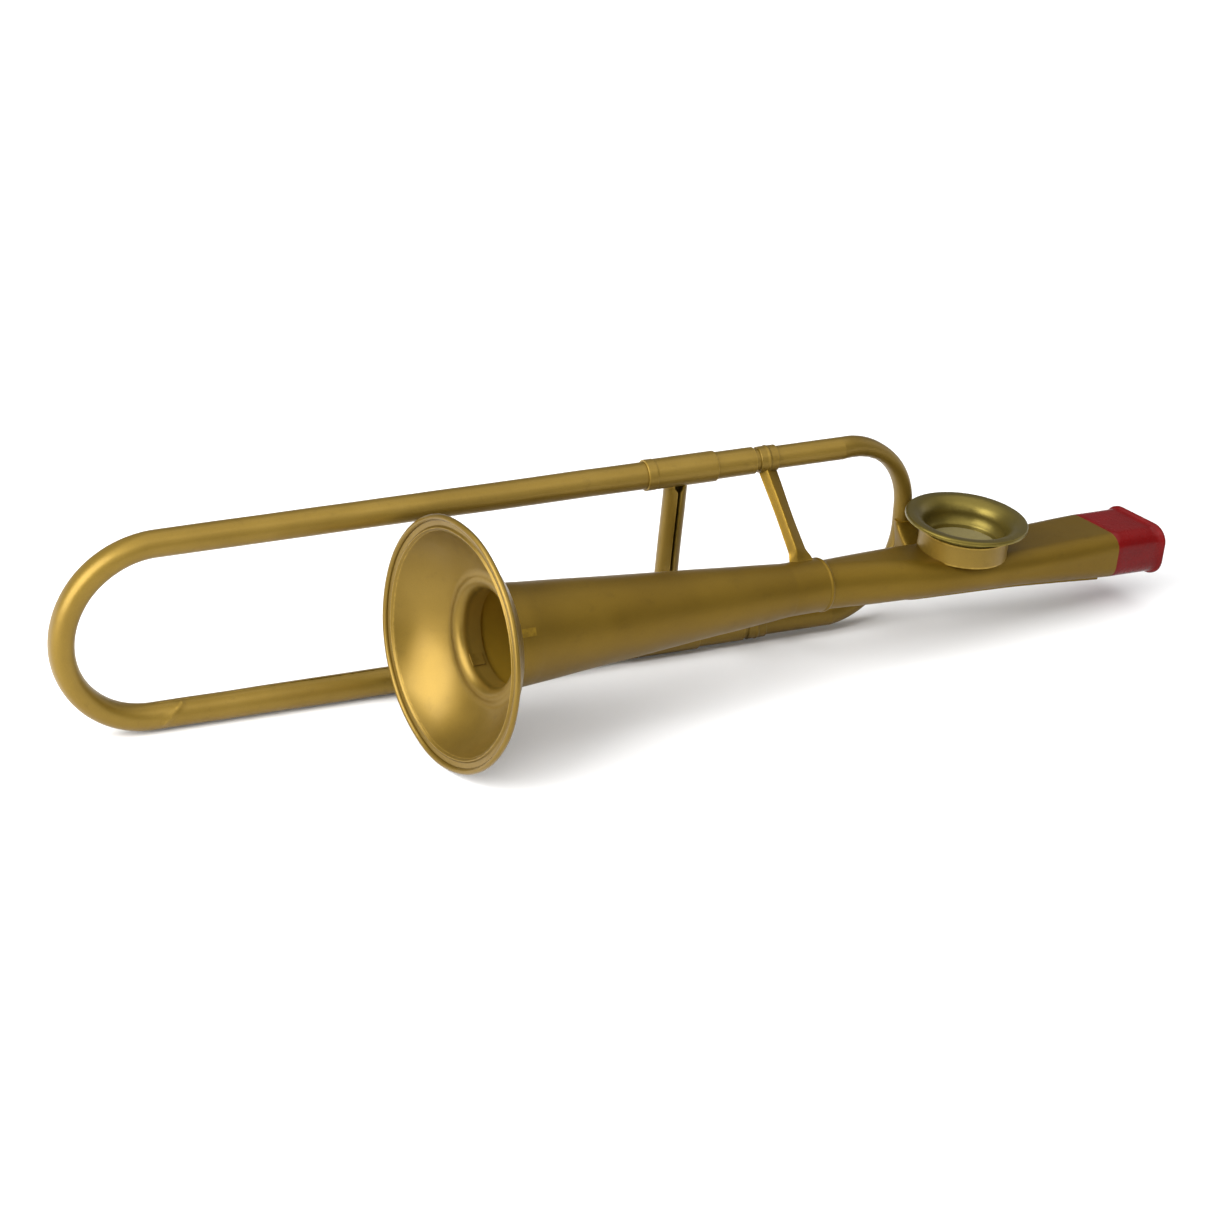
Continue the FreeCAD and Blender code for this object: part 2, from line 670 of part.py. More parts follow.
def make_seam(form):
    """The crimped seam: a thin fin under the body, where its flat belly turns up to the front."""
    ribs = []
    body = new_body("seam_blank")
    for name, _, _, _, _ in SECTIONS[2:]:
        skew = value("tip_cut") if name == SECTIONS[-1][0] else 0.0
        rib = new_sketch(body, name + "_seam", "YZ_Plane", name + "_at", skew)
        front = "-%s_wide %s_corner -seam_half" % (name, name)
        back = front + " seam_half seam_half"
        low = "-%s_high -seam_drop" % name
        high = "-%s_high seam_sunk" % name
        outline(rib, [(front, low), (back, low), (back, high), (front, high)])
        ribs.append(rib)
    feature = body.newObject("PartDesign::AdditiveLoft", "seam_loft")
    feature.Profile = ribs[0]
    feature.Sections = ribs[1:]
    body.Placement = kazoo_frame()
    return boolean("Cut", "body_seam", body, form)


# ------------------------------------------------------------------ turret
def make_cup(form):
    """The turret cup: a wall and a pierced floor, trimmed to sit on the body."""
    points = [
        ("cup_rad -cup_tin", "cup_low"),
        ("cup_rad", "cup_low"),
        ("cup_rad", "cup_top"),
        ("cup_rad -cup_tin", "cup_top"),
        ("cup_rad -cup_tin", "cup_floor cup_tin"),
        ("hole_rad", "cup_floor cup_tin"),
        ("hole_rad", "cup_floor"),
        ("cup_rad -cup_tin", "cup_floor"),
    ]
    blank = turned("cup_blank", points, axis="V_Axis")
    blank.Placement = turret_frame()
    return boolean("Cut", "turret_cup", blank, form)


def make_seat():
    points = [
        ("hole_rad", "cup_floor cup_tin"),
        ("cup_rad -cup_tin", "cup_floor cup_tin"),
        ("cup_rad -cup_tin", "seat_top"),
        ("hole_rad", "seat_top"),
    ]
    body = turned("membrane_seat", points, axis="V_Axis")
    body.Placement = turret_frame()
    return body


def make_membrane():
    body = new_body("membrane")
    sketch = new_sketch(body, "membrane_circle", "XY_Plane", "seat_top")
    add_circle(sketch, "film_rad")
    pad(body, sketch, "membrane_pad", "film")
    body.Placement = turret_frame()
    return body


def make_cap():
    """The push-in cap: flange with a turned-down edge, rounded bowl and a narrower foot."""
    foot = "seat_top film"
    points = [
        ("bowl_foot", foot),
        ("bowl_foot cup_tin", foot),
        ("bowl_foot cup_tin", "foot_high"),
        ("cup_rad -cup_tin -cap_fit", "bowl_turn"),
        ("bowl_rad", "cap_high -cup_tin"),
        ("cap_rim cap_edge -cup_tin", "cap_high -cup_tin"),
        ("cap_rim cap_edge -cup_tin", "cap_lip"),
        ("cap_rim cap_edge", "cap_lip"),
        ("cap_rim cap_edge", "cap_high -cap_edge"),
        ("cap_rim", "cap_high"),
        ("bowl_rad", "cap_high"),
        ("cup_rad -cup_tin -cap_fit -cup_tin", "bowl_turn"),
        ("bowl_foot", "foot_high"),
    ]
    bends = {
        3: ("bowl_round -cup_tin", -1),
        8: ("cap_edge", 1),
        10: ("bowl_round", 1),
    }
    body = turned("turret_cap", points, bends, axis="V_Axis")
    body.Placement = turret_frame()
    return body


# ------------------------------------------------------------------ braces and saddle
def make_horn_brace(side, offset, cone_envelope):
    """A half-round strut from a collar to the cone, with its ends shaped to both."""
    top = 1 if side == "upper" else -1
    start = V(value("collar_x") + value("collar_len") / 2, value("slide_y"),
              value(AXIS_HEIGHT + " " + offset))
    end = horn_frame().multVec(
        V(value("strut_at"), value("strut_side"), top * value("strut_high")))
    run = end - start
    blank = new_body("strut_blank_" + side)
    sketch = new_sketch(blank, "strut_section_" + side, "XY_Plane")
    inside = "strut_rad -strut_skin"
    points = [
        ("strut_rad", ""),
        ("", "strut_rad"),
        ("-strut_rad", ""),
        (negate(inside), ""),
        ("", inside),
        (inside, ""),
    ]
    bends = {0: ("strut_rad", 1), 1: ("strut_rad", 1), 3: (inside, -1), 4: (inside, -1)}
    outline(sketch, points, bends)
    feature = blank.newObject("PartDesign::Pad", "strut_pad_" + side)
    feature.Profile = sketch
    feature.Length = run.Length
    across = V(top, 0, 0)
    blank.Placement = FreeCAD.Placement(start, FreeCAD.Rotation(across, run.cross(across), run, "ZXY"))
    tool = doc.addObject("Part::Cylinder", "collar_envelope_" + side)
    tool.setExpression("Radius", formula("collar_bead"))
    tool.setExpression("Height", formula("collar_len collar_len collar_len"))
    place(tool, "collar_x -collar_len", "slide_y", AXIS_HEIGHT + " " + offset,
          FreeCAD.Rotation(V(0, 1, 0), 90))
    trimmed = boolean("Cut", "strut_trim_" + side, blank, tool)
    return boolean("Cut", "horn_brace_" + side, trimmed, cone_envelope)


def make_saddle(bow_envelope, form):
    """The solder saddle that joins the back bow to the kazoo body, shaped to both and to the cup."""
    blank = doc.addObject("Part::Box", "saddle_blank")
    blank.setExpression("Length", formula("saddle_wide saddle_wide"))
    blank.setExpression("Width", formula("saddle_back -saddle_front"))
    blank.setExpression("Height", formula("saddle_tall"))
    place(blank, "inner_x inner_len back_corner -saddle_wide", "saddle_front", "saddle_low")
    cup = doc.addObject("Part::Cylinder", "cup_envelope")
    cup.setExpression("Radius", formula("cup_rad"))
    cup.setExpression("Height", formula("cup_top"))
    cup.Placement = turret_frame()
    around_bow = boolean("Cut", "saddle_cradle", blank, bow_envelope)
    around_cup = boolean("Cut", "saddle_notch", around_bow, cup)
    return boolean("Cut", "bow_saddle", around_cup, form)


# ------------------------------------------------------------------ build, check and write
def build():
    """Makes every sub-part and returns the ones that are written."""
    parts = [make_front_bow(), make_slide_brace()]
    cone_envelope = make_cone_envelope()
    for side, offset, upward in LEGS:
        parts.append(make_outer_leg(side, offset, upward))
        parts.append(make_ferrule(side, offset))
        parts.append(make_inner_tube(side, offset, upward))
        parts.append(make_collar(side, offset))
        parts.append(make_horn_brace(side, offset, cone_envelope))
    parts.append(make_back_bow())
    bow_envelope = swept_bow("bow_envelope", (("Additive", ""),))
    form = loft("kazoo_form", kazoo_ribs(""))
    parts += [make_bell(), make_cone(), make_kazoo(form), make_mouthpiece(), make_seam(form)]
    parts += [make_cup(form), make_seat(), make_membrane(), make_cap()]
    parts.append(make_saddle(bow_envelope, form))
    return parts


def check(parts):
    """Stops the build if any object failed or any sub-part isn't a sound solid."""
    for item in doc.Objects:
        for state in ("Invalid", "Error"):
            if state in item.State:
                raise RuntimeError("%s is %s" % (item.Label, state))
    for part in parts:
        shape = part.Shape
        if shape.isNull() or not shape.isValid() or shape.Volume <= 0:
            raise RuntimeError(part.Label + " has no sound shape")


fill_sheet()
PARTS = build()
doc.recompute()
check(PARTS)
for part in PARTS:
    part.Shape.exportStep("parts/%s.step" % part.Label)
    box = part.Shape.BoundBox
    print("%-20s solids %d volume %8.1f  x %7.2f %7.2f  y %7.2f %7.2f  z %7.2f %7.2f" % (
        part.Label, len(part.Shape.Solids), part.Shape.Volume,
        box.XMin, box.XMax, box.YMin, box.YMax, box.ZMin, box.ZMax))
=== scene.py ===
"""Looks for a tin slide kazoo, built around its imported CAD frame.

Every tin piece is rebuilt as a real sheet-metal skin with its own thickness, open seams, rolled
edges and small irregularities, and rides on the CAD body it stands for. Values read from the frame
are metres. Plain numbers below are millimetres, which mm() turns into metres, unless a comment
says otherwise.
"""
import json
import math

import bmesh
import bpy
from mathutils import Matrix, Vector, noise


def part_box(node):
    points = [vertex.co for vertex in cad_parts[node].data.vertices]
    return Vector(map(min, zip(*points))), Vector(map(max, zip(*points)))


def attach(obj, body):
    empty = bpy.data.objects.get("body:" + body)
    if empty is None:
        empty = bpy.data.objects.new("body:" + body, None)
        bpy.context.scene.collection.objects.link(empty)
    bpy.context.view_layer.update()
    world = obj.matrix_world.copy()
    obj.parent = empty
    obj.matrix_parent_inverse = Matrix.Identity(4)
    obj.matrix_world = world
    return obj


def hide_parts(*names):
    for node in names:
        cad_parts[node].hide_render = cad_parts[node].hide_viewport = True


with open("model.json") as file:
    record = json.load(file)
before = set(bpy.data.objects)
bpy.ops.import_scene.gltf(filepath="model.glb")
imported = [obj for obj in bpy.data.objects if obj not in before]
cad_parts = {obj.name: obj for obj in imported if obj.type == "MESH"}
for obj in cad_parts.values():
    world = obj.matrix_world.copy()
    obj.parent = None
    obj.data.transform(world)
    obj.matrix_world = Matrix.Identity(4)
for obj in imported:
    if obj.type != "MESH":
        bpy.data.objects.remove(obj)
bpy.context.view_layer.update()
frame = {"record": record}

MM = 0.001
MOUNTS = {mount["name"]: mount for mount in frame["record"]["mounts"]}


def mm(x, y=None, z=None):
    """Millimetres to metres: one length, or a point."""
    return x * MM if y is None else Vector((x, y, z)) * MM


# ---------------------------------------- places taken from the frame
def middle(node):
    low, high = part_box(node)
    return (low + high) / 2


def reach(node):
    """Half the node's size along Z, which is a lying tube's radius."""
    low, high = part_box(node)
    return (high.z - low.z) / 2


LOOP_Y = middle("outer_tube_upper").y
LOOP_Z = (middle("outer_tube_upper").z + middle("outer_tube_lower").z) / 2
LOOP_HALF = middle("outer_tube_upper").z - LOOP_Z
LEG_RAD = reach("outer_tube_upper")
LEG_START, LEG_END = (corner.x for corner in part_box("outer_tube_upper"))
INNER_START, INNER_END = (corner.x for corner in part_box("inner_tube_upper"))
INNER_RAD = reach("inner_tube_upper")
SIDES = (("upper", 1.0), ("lower", -1.0))

NECK_DEPTH = mm(17.25)  # the neck mount's distance behind the bell's rim plane
MOUTH_DEPTH = mm(131.4)  # the mouth mount's distance along the kazoo's own axis
TURRET_AT = mm(63.4)  # the turret axis, along the kazoo's axis


def axis_frame(along, origin):
    """A frame whose X runs along the axis and whose Y stays level."""
    x = along.normalized()
    y = Vector((0, 0, 1)).cross(x).normalized()
    z = x.cross(y)
    return Matrix((
        (x.x, y.x, z.x, origin.x),
        (x.y, y.y, z.y, origin.y),
        (x.z, y.z, z.z, origin.z),
        (0, 0, 0, 1)))


def mount_frame(name, sign, depth):
    """The frame that a mount's axis defines, moved back along that axis to its own origin."""
    along = Vector(MOUNTS[name]["axis"]) * sign
    return axis_frame(along, Vector(MOUNTS[name]["pos_m"]) - along * depth)


HORN = mount_frame("bell_neck", -1.0, NECK_DEPTH)
KAZOO = mount_frame("mouth_end", 1.0, MOUTH_DEPTH)
TURRET = KAZOO @ Matrix.Translation((TURRET_AT, 0, 0))


# ---------------------------------------- small maths
def lerp(a, b, share):
    return a + (b - a) * share


def smooth(low, high, value):
    """0 below low, 1 above high, and an easy curve between them."""
    share = min(1.0, max(0.0, (value - low) / (high - low)))
    return share * share * (3 - 2 * share)


def bump(centre, width, value):
    """A bell curve of height 1."""
    return math.exp(-((value - centre) / width) ** 2)


def through(table, at):
    """Smooth values at a place, from rows of (place, value, value, ...)."""
    last = len(table) - 1
    index = max(i for i in range(last) if i == 0 or table[i][0] <= at)
    near, far = table[index], table[index + 1]
    span = far[0] - near[0]
    share = min(1.0, max(0.0, (at - near[0]) / span))
    values = []
    for column in range(1, len(near)):
        before = table[max(0, index - 1)]
        after = table[min(last, index + 2)]
        slope_near = (far[column] - before[column]) / (far[0] - before[0]) * span
        slope_far = (after[column] - near[column]) / (after[0] - near[0]) * span
        square, cube = share * share, share * share * share
        values.append((2 * cube - 3 * square + 1) * near[column] + (cube - 2 * square + share) * slope_near
                      + (3 * square - 2 * cube) * far[column] + (cube - square) * slope_far)
    return values


def arc(start, end, radius, side, steps):
    """Points of the short arc from start to end, without the last; side +1 bends it left."""
    a, b = Vector(start), Vector(end)
    chord = b - a
    left = Vector((-chord.y, chord.x)).normalized()
    rise = math.sqrt(max(0.0, radius ** 2 - (chord.length / 2) ** 2))
    centre = (a + b) / 2 + left * side * rise
    first = math.atan2(a.y - centre.y, a.x - centre.x)
    turn = math.atan2(b.y - centre.y, b.x - centre.x) - first
    turn = (turn + math.pi) % (2 * math.pi) - math.pi
    return [(centre.x + radius * math.cos(first + turn * i / steps),
             centre.y + radius * math.sin(first + turn * i / steps)) for i in range(steps)]


def straight(start, end, steps):
    return [(lerp(start[0], end[0], i / steps), lerp(start[1], end[1], i / steps)) for i in range(steps)]


# ---------------------------------------- meshes
SHARP = math.radians(38)  # folds sharper than this are shaded as edges
CREASE_TURN = math.radians(45)  # a fold this sharp counts as a full edge for the wear, the painted glint and the painted shade
WELD = mm(0.002)  # points closer than this are one
WOBBLE = mm(0.10)  # how far hand-worked sheet strays from true
WOBBLE_SIZE = mm(17)  # size of those dents and swells
WOBBLE_SEED = 7  # keeps them the same in every run
STIFF = mm(0.05)  # how far the short, stiff rings stray
TRUE = 0.0  # for pieces that don't stray at all
THROAT_FADE = 2.0  # the painted light inside the horn fades in over this length
noise.seed_set(WOBBLE_SEED)


def stray(point, amount):
    """Where a point of slightly uneven sheet lies. Both skins of a sheet move together."""
    return point + noise.noise_vector(point / WOBBLE_SIZE) * amount


def near_x(place):
    """A test for points at a soldered joint, where the next tube goes on and no wear, painted glint or
    painted shade is drawn.
    """
    return lambda point: abs(point.x - place) < mm(0.8)


def anywhere(point):
    return True


def mark_edges(form, quiet):
    """Stores how sharp each vertex's sharpest fold is, for the paint's wear, painted glint and painted
    shade: +1 convex, -1 concave.
    Where quiet(point) is true, folds count as flat."""
    layer = form.verts.layers.float.new("edge")
    for vertex in form.verts:
        if quiet and quiet(vertex.co):
            continue
        folds = [edge.calc_face_angle_signed(0.0) for edge in vertex.link_edges]
        sharpest = max(folds, key=abs)
        vertex[layer] = max(-1.0, min(1.0, sharpest / CREASE_TURN))


def mark_throat(form, start):
    """Stores which vertices face the horn's axis deeper than start, for the painted light that brightens
    the inside.
    """
    layer = form.verts.layers.float.new("throat_light")
    to_horn = HORN.inverted()
    for vertex in form.verts:
        at = to_horn @ vertex.co
        facing = to_horn.to_3x3() @ vertex.normal
        if at.y * facing.y + at.z * facing.z < 0:
            vertex[layer] = smooth(mm(start), mm(start + THROAT_FADE), at.x)


def add_object(name, data):
    thing = bpy.data.objects.new(name, data)
    bpy.context.scene.collection.objects.link(thing)
    return thing


def add_mesh(name, form, material):
    """A mesh object made from a bmesh, which is used up."""
    mesh = bpy.data.meshes.new(name)
    form.to_mesh(mesh)
    form.free()
    mesh.materials.append(material)
    return add_object(name, mesh)


def finish_mesh(name, form, body, nodes, material, wobble=WOBBLE, quiet=None, throat_light=None):
    """Turns a bmesh into a piece: normals, sharp edges, attributes for the wear, painted glint, painted
    shade and painted light, material and body.
    """
    bmesh.ops.remove_doubles(form, verts=form.verts, dist=WELD)
    for vertex in form.verts:
        vertex.co = stray(vertex.co, wobble)
    bmesh.ops.recalc_face_normals(form, faces=form.faces)
    form.normal_update()
    for edge in form.edges:
        edge.smooth = len(edge.link_faces) != 2 or edge.calc_face_angle(0.0) < SHARP
    for face in form.faces:
        face.smooth = True
    mark_edges(form, quiet)
    if throat_light is not None:
        mark_throat(form, throat_light)
    piece = add_mesh(name, form, material)
    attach(piece, body)
    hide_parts(*nodes)


def add_grid(form, rows, wrap):
    """Faces between rows of vertices; wrap closes each row on itself."""
    count = len(rows[0])
    for near, far in zip(rows, rows[1:]):
        for i in range(count if wrap else count - 1):
            j = (i + 1) % count
            form.faces.new((near[i], near[j], far[j], far[i]))


def add_points(form, rows):
    return [[form.verts.new(point) for point in row] for row in rows]


def shell(outer, inner, wrap=True):
    """A sheet tube: outer and inner skins, both ends, and the two edges of an open seam."""
    form = bmesh.new()
    outside, inside = add_points(form, outer), add_points(form, inner)
    add_grid(form, outside, wrap)
    add_grid(form, [list(reversed(row)) for row in inside], wrap)
    for out, within in ((outside[0], inside[0]), (outside[-1], inside[-1])):
        add_grid(form, [out, within], wrap)
    if not wrap:
        for column in (0, -1):
            add_grid(form, [[row[column] for row in outside], [row[column] for row in inside]], False)
    return form


SUPPORT = 0.25  # extra points this far from the ends of a long stretch


def supported(profile):
    """The closed profile with points close to both ends of each long stretch, so that the wear, painted
    glint and painted shade stay on the edges."""
    points = []
    for number, start in enumerate(profile):
        end = profile[(number + 1) % len(profile)]
        points.append(start)
        length = math.dist(start, end)
        if length > 4 * SUPPORT:
            near = SUPPORT / length
            for share in (near, 1 - near):
                points.append((lerp(start[0], end[0], share), lerp(start[1], end[1], share)))
    return points


def around(place, angle, along, radius):
    """A point about the place's X axis."""
    across = Vector((0, math.cos(angle), math.sin(angle)))
    return place @ (Vector((mm(along), 0, 0)) + across * mm(radius))


def lathe(profile, place, turns):
    """A ring: a closed profile of (along, radius) turned about the place's X axis."""
    rows = []
    for step in range(turns):
        angle = 2 * math.pi * step / turns
        rows.append([around(place, angle, along, radius) for along, radius in supported(profile)])
    form = bmesh.new()
    points = add_points(form, rows)
    add_grid(form, points + [points[0]], True)
    return form


def add_solid(form, loops):
    """A solid through closed loops of points, with a flat face at each end."""
    points = add_points(form, loops)
    add_grid(form, points, True)
    form.faces.new(points[0])
    form.faces.new(list(reversed(points[-1])))


def upright(place):
    """A place's frame turned so that its X axis is the old Z axis, for pieces turned about Z."""
    return place @ Matrix(((0, 0, -1, 0), (0, 1, 0, 0), (1, 0, 0, 0), (0, 0, 0, 1)))


# ---------------------------------------- procedural materials
class Nodes:
    """A few helpers round one material's node tree."""

    def __init__(self, name):
        self.material = bpy.data.materials.new(name)
        self.material.use_nodes = True
        self.tree = self.material.node_tree
        self.shader = self.tree.nodes["Principled BSDF"]
        self.place = self.add("ShaderNodeTexCoord", {}).outputs["Object"]

    def feed(self, node, inputs):
        """Sets a node's inputs, or links those whose value is another node's output."""
        for key, value in inputs.items():
            socket = node.inputs[key]
            if isinstance(value, bpy.types.NodeSocket):
                self.tree.links.new(value, socket)
            else:
                socket.default_value = (*value, 1.0) if socket.type == "RGBA" else value

    def add(self, kind, inputs, **settings):
        node = self.tree.nodes.new(kind)
        for key, value in settings.items():
            setattr(node, key, value)
        self.feed(node, inputs)
        return node

    def noise(self, size, detail=3.0, rough=0.55, stretch=None):
        """Noise with features of about `size` millimetres."""
        place = self.place
        if stretch:
            place = self.add("ShaderNodeMapping", {"Scale": stretch, "Vector": place}).outputs["Vector"]
        inputs = {"Scale": 1.0 / mm(size), "Detail": detail, "Roughness": rough, "Vector": place}
        return self.add("ShaderNodeTexNoise", inputs).outputs["Fac"]

    def ramp(self, source, stops):
        """A colour ramp: stops are (place, colour or grey)."""
        node = self.add("ShaderNodeValToRGB", {"Fac": source})
        elements = node.color_ramp.elements
        while len(elements) < len(stops):
            elements.new(0.5)
        for element, (position, colour) in zip(elements, stops):
            element.position = position
            rgb = colour if isinstance(colour, tuple) else (colour, colour, colour)
            element.color = (*rgb, 1.0)
        return node.outputs["Color"]

    def mix(self, kind, factor, one, two):
        """Mixes two colours; factor is a number or a socket."""
        inputs = {0: factor, 6: one, 7: two}
        return self.add("ShaderNodeMix", inputs, data_type="RGBA", blend_type=kind).outputs[2]

    def math(self, kind, one, two):
        return self.add("ShaderNodeMath", {0: one, 1: two}, operation=kind).outputs[0]

    def span(self, source, low, high, to_low, to_high):
        """Maps a range of a value onto another range."""
        inputs = {"Value": source, "From Min": low, "From Max": high, "To Min": to_low, "To Max": to_high}
        return self.add("ShaderNodeMapRange", inputs).outputs["Result"]

    def bump(self, layers):
        """Stacked bumps; layers are (height socket, depth in millimetres)."""
        below = {}
        for height, depth in layers:
            node = self.add("ShaderNodeBump", {"Distance": mm(depth), "Height": height, **below})
            below = {"Normal": node.outputs["Normal"]}
        self.feed(self.shader, below)

    def stored(self, name):
        """A value stored on the mesh's vertices; 0 where a piece has none."""
        return self.add("ShaderNodeAttribute", {}, attribute_name=name).outputs["Fac"]


def brighter(colour, gain):
    return tuple(min(1.0, channel * gain) for channel in colour)


WORN_GLINT_GAIN, THROAT_LIGHT_GAIN, HOLLOW_SHADE_GAIN = 1.7, 1.6, 0.45  # tone of worn edges that are partly a painted highlight, of the painted light inside the horn and of the painted shade in concave folds
COAT_ROUGH, PAINT_GLOSS = 0.26, 0.25


def gold_paint(name, deep, base, light, rough, metal, coat=0.0):
    """Satin gold paint on tin: faint clouds of tone, fine flake, orange peel, worn edges that are partly a
    painted highlight, painted shade in concave folds and painted light down the inside of the horn's neck."""
    paint = Nodes(name)
    clouds = paint.noise(34, 3.0)
    tone = paint.ramp(clouds, ((0.30, deep), (0.52, base), (0.78, light)))
    flake = paint.noise(0.22, 2.0, 0.7)
    tone = paint.mix("MULTIPLY", 1.0, tone, paint.ramp(flake, ((0.25, 0.86), (0.60, 1.0), (0.85, 1.14))))
    grime = paint.ramp(paint.noise(4.0, 6.0, 0.65), ((0.26, 0.72), (0.42, 1.0)))
    tone = paint.mix("MULTIPLY", 0.5, tone, grime)
    edge = paint.stored("edge")
    # Painted shade: concave folds are darkened where shade would gather.
    hollow_shade = paint.span(edge, -0.7, -0.2, 1.0, 0.0)
    tone = paint.mix("MIX", paint.math("MULTIPLY", hollow_shade, 0.45), tone, brighter(deep, HOLLOW_SHADE_GAIN))
    # Worn paint that is partly a painted highlight: sharp convex edges are lightened in patches.
    rubbed_and_glint = paint.math("MULTIPLY", paint.span(edge, 0.30, 0.85, 0.0, 1.0),
                        paint.span(paint.noise(1.6, 4.0), 0.35, 0.62, 0.15, 0.75))
    tone = paint.mix("MIX", rubbed_and_glint, tone, brighter(light, WORN_GLINT_GAIN))
    # Painted light: the inside of the horn's neck is brightened where little light reaches.
    tone = paint.mix("MIX", paint.stored("throat_light"), tone, brighter(light, THROAT_LIGHT_GAIN))
    dull = paint.span(paint.noise(9, 5.0), 0.3, 0.7, rough - 0.03, rough + 0.05)
    dull = paint.math("SUBTRACT", dull, paint.math("MULTIPLY", rubbed_and_glint, 0.08))
    paint.feed(paint.shader, {
        "Base Color": tone, "Roughness": dull, "Metallic": metal, "Specular IOR Level": PAINT_GLOSS,
        "Coat Weight": coat, "Coat Roughness": COAT_ROUGH})
    paint.bump(((paint.noise(0.55, 3.0), 0.005), (paint.noise(7, 3.0), 0.04), (flake, 0.003)))
    return paint.material


def red_plastic():
    """Glossy moulded red, with faint swirls and fine scuffs."""
    red = Nodes("red_plastic")
    swirl = red.noise(12, 4.0, 0.6, (1.0, 2.5, 2.5))
    tone = red.ramp(swirl, ((0.30, (0.095, 0.0012, 0.0014)), (0.70, (0.130, 0.0020, 0.0022))))
    scuff = red.span(red.noise(1.1, 6.0, 0.75), 0.60, 0.74, 0.0, 0.25)
    tone = red.mix("MIX", scuff, tone, (0.15, 0.006, 0.006))
    rough = red.span(red.noise(3.0, 5.0), 0.3, 0.7, 0.22, 0.32)
    red.feed(red.shader, {"Base Color": tone, "Roughness": rough, "Specular IOR Level": 0.14})
    red.bump(((red.noise(6.0, 3.0), 0.05), (red.noise(0.4, 2.0), 0.003)))
    return red.material


def waxed_film():
    """Thin waxed membrane: warm, slightly clouded, with fine fibres."""
    film = Nodes("waxed_film")
    fibres = film.noise(1.2, 6.0, 0.7, (1.0, 6.0, 1.0))
    tone = film.ramp(fibres, ((0.3, (0.12, 0.096, 0.028)), (0.7, (0.165, 0.135, 0.042))))
    rough = film.span(film.noise(4.0), 0.3, 0.7, 0.28, 0.42)
    film.feed(film.shader, {"Base Color": tone, "Roughness": rough, "Sheen Weight": 0.15})
    film.bump(((fibres, 0.01), (film.noise(3.0, 3.0), 0.04)))
    return film.material


def pressed_fibre():
    """Dull brown pressed board, for the ring under the film."""
    fibre = Nodes("pressed_fibre")
    grain = fibre.noise(0.5, 6.0, 0.7)
    tone = fibre.ramp(grain, ((0.3, (0.10, 0.06, 0.03)), (0.7, (0.22, 0.15, 0.08))))
    fibre.feed(fibre.shader, {"Base Color": tone, "Roughness": 0.85})
    fibre.bump(((grain, 0.05),))
    return fibre.material


GOLD = gold_paint("gold_paint", (0.160, 0.098, 0.011), (0.186, 0.116, 0.015), (0.216, 0.138, 0.023),
                  0.43, 0.62, 0.12)
# Partly painted shade: a darker copy of the gold paint for the bell, with its own gloss.
BELL_SHADED_GOLD = gold_paint("bell_shaded_paint", (0.136, 0.082, 0.009), (0.156, 0.096, 0.012), (0.180, 0.114, 0.019),
                       0.37, 0.70, 0.12)
# Painted shade: the same gold paint made darker, for the struts, cone, kazoo body, seam and foot.
SHADED_GOLD = gold_paint("shaded_gold_paint", (0.126, 0.073, 0.005), (0.143, 0.084, 0.006),
                       (0.163, 0.098, 0.008), 0.44, 0.62)
BRASS = gold_paint("cap_paint", (0.100, 0.074, 0.012), (0.122, 0.092, 0.017), (0.150, 0.116, 0.025),
                   0.36, 0.75)
RED = red_plastic()
FILM = waxed_film()
FIBRE = pressed_fibre()


# ---------------------------------------- rolled tubes
TIN = 0.35  # sheet thickness
AROUND = 72  # steps round a tube
TUBE_STEP = 1.0  # steps along it


def unfolded(angle):
    """For a skin without folds: it stands out nowhere."""
    return 0.0


def seam_loop(centre, along, up, radius, half_gap, lift_at):
    """An open ring of points about centre, with its gap facing -up and half_gap wide each side.
    lift_at(angle) is how far the skin stands out; half a turn is the -Y side of the lower leg."""
    side = along.cross(up).normalized()
    gap = math.asin(half_gap / radius)
    start = -math.pi / 2 + gap
    sweep = 2 * (math.pi - gap)
    points = []
    for i in range(AROUND + 1):
        angle = start + sweep * i / AROUND
        out = mm(radius + lift_at(angle))
        points.append(centre + side * out * math.cos(angle) + up * out * math.sin(angle))
    return points


def rolled_tube(start, end, height, radius, gap_at, inward, lift=None):
    """A straight rolled tube along X. gap_at gives half the seam's width at an x in mm, and
    lift(x, angle) how far the skin stands out."""
    count = int((end - start) / TUBE_STEP)
    places = [lerp(start, end, i / count) for i in range(count + 1)]
    places = [start, start + SUPPORT] + places[1:-1] + [end - SUPPORT, end]
    outer, inner = [], []
    along, up = Vector((1, 0, 0)), Vector((0, 0, inward))
    for x in places:
        centre = Vector((mm(x), LOOP_Y, height))
        half_gap = gap_at(x)
        lift_at = (lambda angle, x=x: lift(x, angle)) if lift else unfolded
        outer.append(seam_loop(centre, along, up, radius, half_gap, lift_at))
        inner.append(seam_loop(centre, along, up, radius - TIN, half_gap, lift_at))
    return shell(outer, inner, wrap=False)


SEAM_SHUT, SEAM_OPEN = 0.03, 0.30  # half the outer leg's seam, at its front and further back
SEAM_FROM, SEAM_TO = -115.0, -95.0  # where it opens
SEAM_WAVE, SEAM_WAVES = 0.25, 0.11  # how much its width varies, and how often (radians per mm)
INNER_GAP, GAPE_WIDE = 0.22, 1.05  # half the inner tube's seam, and what its mouth adds
GAPE_FROM, GAPE_TO = 15.8, 4.2  # that mouth's ends, in front of the tube's back end


def outer_gap(x):
    opening = lerp(SEAM_SHUT, SEAM_OPEN, smooth(SEAM_FROM, SEAM_TO, x))
    return opening * (1 + SEAM_WAVE * math.sin(x * SEAM_WAVES))


